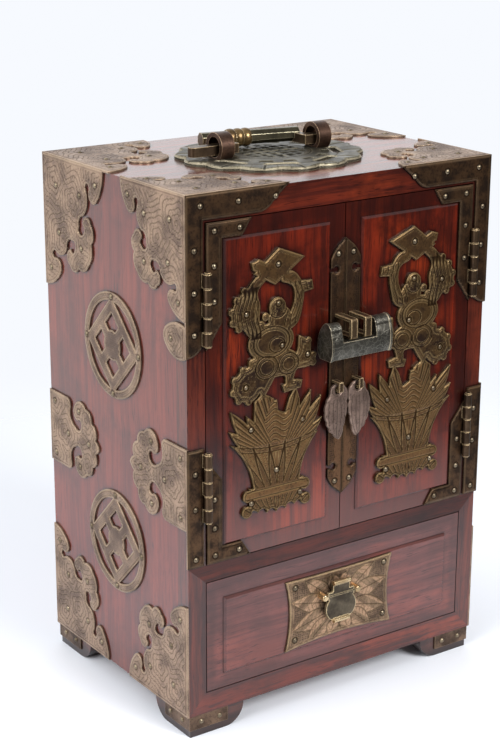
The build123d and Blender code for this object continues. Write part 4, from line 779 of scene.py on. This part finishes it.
def ornament_pattern(sign):
    """Places are millimetres from the ornament's middle and foot, and shares u and v of its width and
    height. Rings mark head, belly and hips, waving lines mark folds, fans mark sashes and leaves, and
    zigzags mark the basket. The right ornament mirrors the left one."""
    def pattern(across, up, depth):
        x = -sign * (across - sign * ornament_centre)
        y = up - ornament_foot
        u, v = x / ornament_width, y / ornament_height
        border = line_groove(depth - 0.9, 0.9)
        groove = np.maximum(border * 0.8, line_groove(depth - 2.7, 0.9) * 0.55 * (v > leaf_top))
        dome = 0.20 + 0.55 * (1 - np.exp(-depth / 2.2))

        def cut(lines, where):
            np.maximum(groove, lines * where, out=groove)

        def ring(cx, cy, rx, ry, width=1.3):
            reach = np.hypot((x - cx) / rx, (y - cy) / ry)
            return line_groove((reach - 1) * min(rx, ry), width)

        for cx, cy, rx, ry, strength in belly_rings:
            cut(ring(cx, cy, rx, ry) * strength, v > 0.60)
        cut(ring(*head, 5.6, 5.6), v > 0.74)
        for cx in (-3.6, 0.6):
            cut(ring(cx, 117.6, 1.0, 0.55, 0.5), 1.0)
        cut(line_groove(np.hypot(x + 1.4, y - 115.0) - 1.1, 0.5), (y < 114.6) & (y > 113.2))
        fold = np.sin((x + 21.0) * 1.3 + 1.6 * np.sin(y * 0.28)) * np.cos((y - 118) * 0.10)
        cut(line_groove(fold, 1.4), (u < -0.19) & (v > 0.69) & (v < 0.90))
        fold = ((x - 9.5) + 1.5 * np.sin(y * 0.30)) % 3.4 - 1.7
        cut(line_groove(fold, 1.4), (u > 0.04) & (v > 0.72) & (v < 0.90))
        for cx, size in hip_rings:
            cut(ring(cx, 88.0, size, 0.88 * size), (v > 0.54) & (v < 0.625) & (np.abs(u + 0.02) < 0.23))
        sash = ((u < -0.19) & (v > 0.46) & (v < 0.61)) | ((u > 0.16) & (v > 0.55) & (v < 0.69))
        cx, cy = np.where(u < 0, -21.0, 19.0), np.where(u < 0, 80.0, 91.0)
        reach = np.hypot(x - cx, y - cy)
        cut(line_groove(np.sin(np.arctan2(y - cy, x - cx) * 9) * reach, 1.6), sash & (reach > 2.6))

        leaves = (v > 0.285) & (v < leaf_top)
        blade = (np.arctan2(x * 0.72, y - 36.0) * 12.0) % 1.0 - 0.5
        cut(line_groove(blade * 3.2, 2.0), leaves)
        waves = (np.abs(x + 1.0) < 9 - 0.4 * np.abs(y - 58)) & (v > basket_top) & (v < 0.47)
        groove = np.where(waves, line_groove((y + 1.6 * np.sin(x * 0.5)) % 3.4 - 1.7, 1.5), groove)
        basket = (v < basket_top) & (v > 0.14)
        rim = y - (43.4 + 0.0065 * (x + 2.0) ** 2)
        spread = (x + 1.2) / (7.0 + 0.55 * np.clip(y - 20, 0, 30))
        panel = np.abs((spread * 2.0 + 0.5) % 1.0 - 0.5) * 2
        climb = np.clip((y - 21) / 22, 0, 1)
        groove = np.where(basket, np.maximum(border, line_groove((panel - climb) * 4.5, 2.3)), groove)
        reeds = line_groove(((spread * 9.0) % 1.0 - 0.5) * 2.6, 0.9) * (panel < climb) * 0.7
        groove = np.where(basket & (rim < -3), np.maximum(groove, reeds), groove)
        lip = np.maximum(line_groove(rim, 1.5), line_groove(rim + 2.6, 1.3))
        groove = np.maximum(groove, lip * (v > 0.25) * (v < 0.36))
        stand = v < stand_top
        teeth = line_groove(((np.arctan2(x + 1.2, y + 4.0) * 7.0) % 1.0 - 0.5) * 3.0, 1.4)
        teeth = teeth * (y > 7.5) * (y < 15.0)
        bands = np.maximum(line_groove(y - 16.4, 1.3), line_groove(y - 20.6, 1.3))
        groove = np.where(stand, np.maximum(np.maximum(teeth, bands), border), groove)
        tablet = (v > 0.875) & (np.abs(u) < 0.27)
        groove = np.where(tablet, line_groove(depth - 1.3, 0.7) * 0.9, groove)

        dome = np.where(tablet | basket | stand, 0.30, dome)
        raised = dome - 0.28 * groove + 0.25 * (np.hypot(x - head[0], y - head[1]) < 5.2)
        gilt = np.where(v < leaf_top, 0.70, np.where(tablet, 0.25, 0.0))
        gilt = np.where(leaves & ~waves, np.clip(1.1 * (blade + 0.5), 0, 1), gilt)
        punched = (basket & (panel > climb) | (stand & (y > 8) & (y < 15))) & (rim < -3)
        punched = np.maximum(punched, 0.8 * ((rim < -0.5) & (rim > -2.0)))
        return raised, groove, gilt, punched
    return pattern


for side, sign in sides_and_signs:
    node = f"door_ornament_{side}"
    dress(front_brass, node)
    chased_skin(
        f"chasing_figure_{side}", node, 1, -1, 0.38, ornament_pattern(sign), front_brass, f"door_{side}",
        margin=0.25, rim_width=0.6,
    )


# Lock plates: pointed brass strips riveted beside the seam, with a smooth band and a stippled outer strip
# marked off by a scalloped line, which curls round a hole near each end. A flat strip bent forward, down
# and back makes the staple on each.
def lock_plate_pattern(low, high):
    """A scribed line with half-round scallops, curls round the holes and punched ground outside the line."""
    hole_inset = 16.56
    hole_out = 6.2
    curl_reach = 2.9
    clear_reach = 3.6
    scallop_start = 5.3
    gilt_height = 46.0

    def pattern(across, up, depth):
        out = np.abs(across)
        scallop = scallop_start + 0.8 * np.abs(np.sin((up - low[2]) * 0.42))
        groove = line_groove(out - scallop, 0.7)
        for level in (low[2] + hole_inset, high[2] - hole_inset):
            reach = np.hypot(out - hole_out, up - level)
            groove = np.where(reach < clear_reach, line_groove(reach - curl_reach, 0.7), groove)
        groove = np.maximum(groove, line_groove(depth - 0.6, 0.5) * 0.7)
        gilt = np.where(up < low[2] + gilt_height, 1.0, 0.15)
        return 0.14 - 0.12 * groove, groove, gilt, (out > scallop + 0.4) & (depth > 0.9)
    return pattern


staple_brass = old_brass(
    "staple_brass", (0.16, 0.105, 0.058), (0.070, 0.043, 0.025), (0.024, 0.015, 0.009), seed=8.5, rough=0.32,
    edge_colour=(0.80, 0.58, 0.31), edge=1.0, stipple=0.5, edge_band=0.0012,
)
for side in ("left", "right"):
    node = f"door_lock_plate_{side}"
    dress(strap_brass, node)
    chased_skin(
        f"chasing_lock_plate_{side}", node, 1, -1, 0.4, lock_plate_pattern(*span(node)), strap_brass,
        f"door_{side}", margin=0.25,
    )
    dress(staple_brass, f"door_staple_{side}")

# Drop pulls: leaf shapes cut from reddish brown brass, crowned, with veins that run down their length to
# the tip. Each hangs on a narrow strip bent into a U.
leaf_brass = old_brass(
    "leaf_brass", (0.37, 0.255, 0.205), (0.17, 0.115, 0.092), (0.045, 0.029, 0.022), seed=6.0,
    edge_colour=(0.42, 0.31, 0.24),
)


def leaf_pattern(low, high):
    """Veins keep to fixed shares of the leaf's width, which narrows to the tip as a power of a sine. A curl
    goes round the hole, and the crown falls off with the square of the distance from the leaf's middle."""
    length, middle = high[2] - low[2], (low[0] + high[0]) / 2
    hole_level = high[2] - 3.4
    curl_reach = 3.1

    def pattern(across, up, depth):
        fall = np.clip((high[2] - up) / length, 0, 1)
        half = np.maximum(0.5 * (high[0] - low[0]) * np.sin(np.pi * np.clip(fall, 0.02, 0.98)) ** 0.6, 0.5)
        share = (across - middle) / half
        veins = np.zeros(len(across))
        for place in (-0.72, -0.36, 0.0, 0.36, 0.72):
            veins = np.maximum(veins, line_groove((share - place) * half, 0.9 if place == 0 else 0.75))
        curl = line_groove(np.hypot(across - middle, up - hole_level) - curl_reach, 0.7)
        groove = np.where(fall > 0.26, veins, curl)
        crown = 0.9 * np.clip(1 - np.hypot(share, (fall - 0.55) * 1.8) ** 2, 0, 1)
        return 0.15 + crown - 0.24 * groove, groove, 0.0, 0.0
    return pattern


for side in ("left", "right"):
    node = f"drop_pull_{side}"
    dress(leaf_brass, node)
    dress(dark_brass, f"door_pull_staple_{side}")
    chased_skin(
        f"veining_{side}", node, 1, -1, 0.36, leaf_pattern(*span(node)), leaf_brass, node, margin=0.2,
    )

# Drawer plate: a brass plate with four hollow sides, riveted on the drawer and chased with broad petals,
# which spread from behind the pull to the corners, on a punched ground.
drawer_brass = old_brass(
    "drawer_brass", (0.30, 0.195, 0.120), (0.115, 0.072, 0.046), (0.040, 0.025, 0.016), seed=9.0,
    edge_colour=(0.58, 0.42, 0.22), edge=0.7, patch=110.0,
)
dress(drawer_brass, "drawer_plate")
drawer_plate_middle = sum(span("drawer_plate")) / 2
petals = (
    # root x and z, direction in degrees, length and half width in millimetres
    (6.0, 5.0, 38.0, 24.0, 5.2), (7.0, 2.0, 12.0, 27.0, 5.6), (7.0, -3.0, -14.0, 27.0, 5.6),
    (6.0, -6.0, -40.0, 23.0, 5.2), (2.0, 8.0, 68.0, 12.0, 4.2), (3.0, -9.0, -70.0, 11.0, 4.2),
)


def drawer_plate_pattern(across, up, depth):
    """Each petal is a pointed oval along its own line, with a midrib and slanting veins. Later petals lie
    over earlier ones, and the ground between them is punched."""
    vein_pitch = 3.0
    x, z = np.abs(across - drawer_plate_middle[0]), up - drawer_plate_middle[2]
    groove = np.zeros(len(x))
    height = np.full(len(x), 0.10)
    ground = np.ones(len(x))
    for root_x, root_z, heading, length, half in petals:
        turn = np.radians(heading)
        along = ((x - root_x) * np.cos(turn) + (z - root_z) * np.sin(turn)) / length
        aside = -(x - root_x) * np.sin(turn) + (z - root_z) * np.cos(turn)
        width = half * np.sin(np.pi * np.clip(along, 0, 1) ** 0.8)
        inner = (np.abs(aside) < width) & (along > 0) & (along < 1)
        outline = line_groove(np.abs(aside) - width, 1.2) * (along > -0.02) * (along < 1.02)
        slant = (along * length + 0.7 * np.abs(aside)) % vein_pitch - vein_pitch / 2
        veins = np.maximum(line_groove(slant, 1.0) * 0.7, line_groove(aside, 1.0))
        groove = np.maximum(np.where(inner, veins, groove), outline)
        height = np.where(inner, 0.22 + 0.25 * (1 - (aside / np.maximum(width, 0.1)) ** 2), height)
        ground = np.where(inner, 0.0, ground)
    groove = np.where(depth < 2.0, line_groove(depth - 1.4, 0.8), groove)
    gilt = 0.15 + 0.75 * (1 - ground) * (np.sin(x * 0.35 + z * 0.5) > -0.2)
    return height - 0.20 * groove, groove, gilt, ground * (depth > 2.2)


chased_skin(
    "chasing_drawer_plate", "drawer_plate", 1, -1, 0.38, drawer_plate_pattern, drawer_brass, "drawer",
    margin=0.3,
)

# Drawer pull: a dark brass bar on two pins between bright brass posts on the drawer plate, with a tab
# above it and a round drop below it. Their lips are rubbed to yellow brass.
lip_height = 2.9
pull_brass = old_brass(
    "pull_brass", (0.135, 0.108, 0.072), (0.046, 0.035, 0.023), (0.018, 0.013, 0.008), seed=11.0, rough=0.32,
    edge_colour=(0.90, 0.70, 0.40), edge=1.0, stipple=0.5, edge_band=0.0009,
)
post_brass = old_brass(
    "post_brass", (0.66, 0.50, 0.29), (0.40, 0.28, 0.15), (0.14, 0.09, 0.05), seed=12.0, rough=0.28,
    edge_colour=(0.90, 0.70, 0.40), stipple=0.4, metal=0.95,
)
dress(post_brass, "drawer_pull_posts")
dress(pull_brass, "drawer_pull")
pull = nodes["drawer_pull"].data
low, high = span("drawer_pull")
level = face_middles(pull)[:, 2]
choose_materials(pull, (post_brass,), (level > high[2] - lip_height) | (level < low[2] + lip_height))

# Handle plate: a ruffled, pierced oval of brass that lies on the lid, domed in the middle round a fretted
# medallion.
plate_brass = old_brass(
    "plate_brass", (0.125, 0.115, 0.085), (0.055, 0.050, 0.036), (0.012, 0.010, 0.007), seed=14.0, rough=0.36,
    edge_colour=(0.62, 0.54, 0.37), edge=0.9, edge_band=0.0009,
)
dress(plate_brass, "handle_backplate")
low, high = span("handle_backplate")
handle_plate_centre, handle_plate_half = (low + high) / 2, (high - low) / 2
ruffles = 14
dome_rise = 1.0
ruffle_rise = 0.95
fret_pitch = 6.4
fret_half = 2.3
medallion_share, slot_share, inner_share, ruffle_share = 0.44, 0.59, 0.73, 0.76


def handle_plate_pattern(across, up, depth):
    """Ruffles and ribs run out to the edge, a ring of sunk slots lies inside them, and rows of sunk squares
    mark the medallion, which stands on a dome. Slots and squares are filled dark: painted shade for the
    openings."""
    x, y = across - handle_plate_centre[0], up - handle_plate_centre[1]
    reach = np.hypot(x / handle_plate_half[0], y / handle_plate_half[1])
    angle = np.arctan2(y, x) * ruffles
    ribs = line_groove(np.sin(angle / 2) * 7.0, 2.6) * (reach > ruffle_share)
    ribs = np.maximum(ribs, 0.8 * line_groove(np.sin(angle * 1.5) * 3.0, 1.3) * (reach > 0.84))
    # Painted shade: the slots and square holes are sunk and filled dark, standing for shade seen through
    # openings.
    painted_slots = line_groove((reach - slot_share) * 50, 6.0) * (reach < 0.74)
    painted_slots = painted_slots * np.clip((np.cos(angle) + 0.3) * 3, 0, 1)
    fret = np.maximum(np.abs(x % fret_pitch - fret_pitch / 2), np.abs(y % fret_pitch - fret_pitch / 2))
    painted_holes = np.clip((fret_half - fret) * 2, 0, 1) * (reach < medallion_share - 0.06)
    rings = line_groove((reach - medallion_share) * 50, 1.4)
    rings = np.maximum(rings, line_groove((reach - inner_share) * 50, 1.3))
    groove = np.maximum(np.maximum(ribs, np.minimum(painted_slots * 2, 1)), np.maximum(rings, painted_holes))
    groove = np.maximum(groove, line_groove(depth - 0.8, 0.7) * 0.6)
    dome = dome_rise * np.clip(1 - (reach / 0.7) ** 2, 0, 1)
    ruffle = ruffle_rise * np.clip((reach - ruffle_share) / 0.1, 0, 1) * np.abs(np.sin(angle / 2)) ** 0.5
    sunk = 0.5 * np.maximum(painted_holes, painted_slots) * (dome > 0.2)
    return 0.24 + dome + ruffle - 0.24 * groove - sunk, groove, 0.0, 0.0


chased_skin(
    "chasing_handle_plate", "handle_backplate", 2, 1, 0.5, handle_plate_pattern, plate_brass, "cabinet",
    margin=0.35,
)

# Handle: a forged bail whose bent ends are brown and whose eight-sided grip is dark olive, with a beaded
# ferrule of yellow brass. It hangs in two strap loops of reddish brown metal that stand on the plate.
ring_brass = old_brass(
    "ring_brass", (0.110, 0.060, 0.040), (0.050, 0.026, 0.017), (0.018, 0.010, 0.007), seed=16.0, rough=0.36,
    edge_colour=(0.60, 0.40, 0.24), edge=0.85,
)
end_brass = old_brass(
    "end_brass", (0.130, 0.084, 0.047), (0.058, 0.036, 0.021), (0.020, 0.012, 0.008), seed=17.0, rough=0.34,
    edge_colour=(0.78, 0.58, 0.33), edge=0.9, stipple=0.6,
)
grip_brass = old_brass(
    "grip_metal", (0.085, 0.073, 0.045), (0.038, 0.033, 0.020), (0.014, 0.012, 0.008), seed=18.0, rough=0.30,
    edge_colour=(0.62, 0.55, 0.36), edge=0.7, stipple=0.5,
)
ferrule_brass = old_brass(
    "ferrule_brass", (0.24, 0.155, 0.066), (0.10, 0.060, 0.027), (0.034, 0.020, 0.010), seed=19.0, rough=0.28,
    edge_colour=(0.90, 0.70, 0.42), stipple=0.4,
)
dress(ring_brass, "handle_posts")
dress(end_brass, "handle_bail")
grip_ends = np.array([[-31.5, 26.55], [26.5, 15.55]])
grip_level = span("handle_bail")[1][2] - 5.2
grip_radius = 4.5
ferrule_core = 4.2
grip_reach = (-29.0, 27.0)
ferrule_reach = (-17.0, -2.4)
bail = nodes["handle_bail"].data
x, y, z = face_middles(bail).T
grip_run = grip_ends[1] - grip_ends[0]
grip_run /= np.hypot(*grip_run)
aside = (x - grip_ends[0, 0]) * -grip_run[1] + (y - grip_ends[0, 1]) * grip_run[0]
off_axis = np.hypot(aside, z - grip_level)
on_grip = (off_axis < grip_radius) & (x > grip_reach[0]) & (x < grip_reach[1])
on_ferrule = (x > ferrule_reach[0]) & (x < ferrule_reach[1]) & (off_axis > ferrule_core)
choose_materials(bail, (grip_brass, ferrule_brass), np.where(on_ferrule, 2, np.where(on_grip, 1, 0)))

# Padlock: a round-fronted bar of grey-green metal with a cap at each end and a notch for the two staples,
# with fine engraved sprays and bright edges, partly rubbed wear and partly painted highlight. Its brass bolt
# goes through the staples.
dress(dark_brass, "padlock_bolt")
lock_steel, tree, place = new_material("lock_steel")
swirl = noise(tree, place, 120.0, 2.0, output="Color")
warped = add_node(tree, "ShaderNodeMix", {0: 0.012, 4: place, 5: swirl}, data_type="VECTOR").outputs[1]
sprays = add_node(
    tree, "ShaderNodeTexVoronoi", {"Vector": warped, "Scale": 260.0}, feature="DISTANCE_TO_EDGE"
).outputs["Distance"]
hatch = add_node(
    tree, "ShaderNodeTexWave", {"Vector": warped, "Scale": 330.0, "Distortion": 6.0, "Detail": 1.0}
).outputs["Fac"]
cut = minus(tree, 1.0, smooth_range(tree, sprays, 0.02, 0.08))
cut = calculate(tree, "MAXIMUM", cut, times(tree, smooth_range(tree, hatch, 0.82, 0.97), 0.5))
patches = smooth_range(tree, noise(tree, place, 90.0, 5.0), 0.35, 0.65)
colour = blend_colours(tree, patches, (0.045, 0.041, 0.033), (0.098, 0.090, 0.074))
colour = blend_colours(tree, times(tree, cut, 0.40), colour, (0.28, 0.265, 0.22))
# Bright edges: partly rubbed wear, partly painted highlight.
bevel, facing = edge_facing(tree, 0.0006, 6)
edge = times(tree, smooth_range(tree, facing, 0.985, 0.90), 0.8)
colour = blend_colours(tree, edge, colour, (0.66, 0.56, 0.38))
surface = add_node(tree, "ShaderNodeBsdfPrincipled", {
    "Base Color": colour, "Metallic": 0.8, "Roughness": 0.34,
    "Normal": relief(tree, 0.3, 0.0002, cut, Normal=bevel),
})
add_node(tree, "ShaderNodeOutputMaterial", {"Surface": surface.outputs[0]})
dress(lock_steel, "padlock_case")
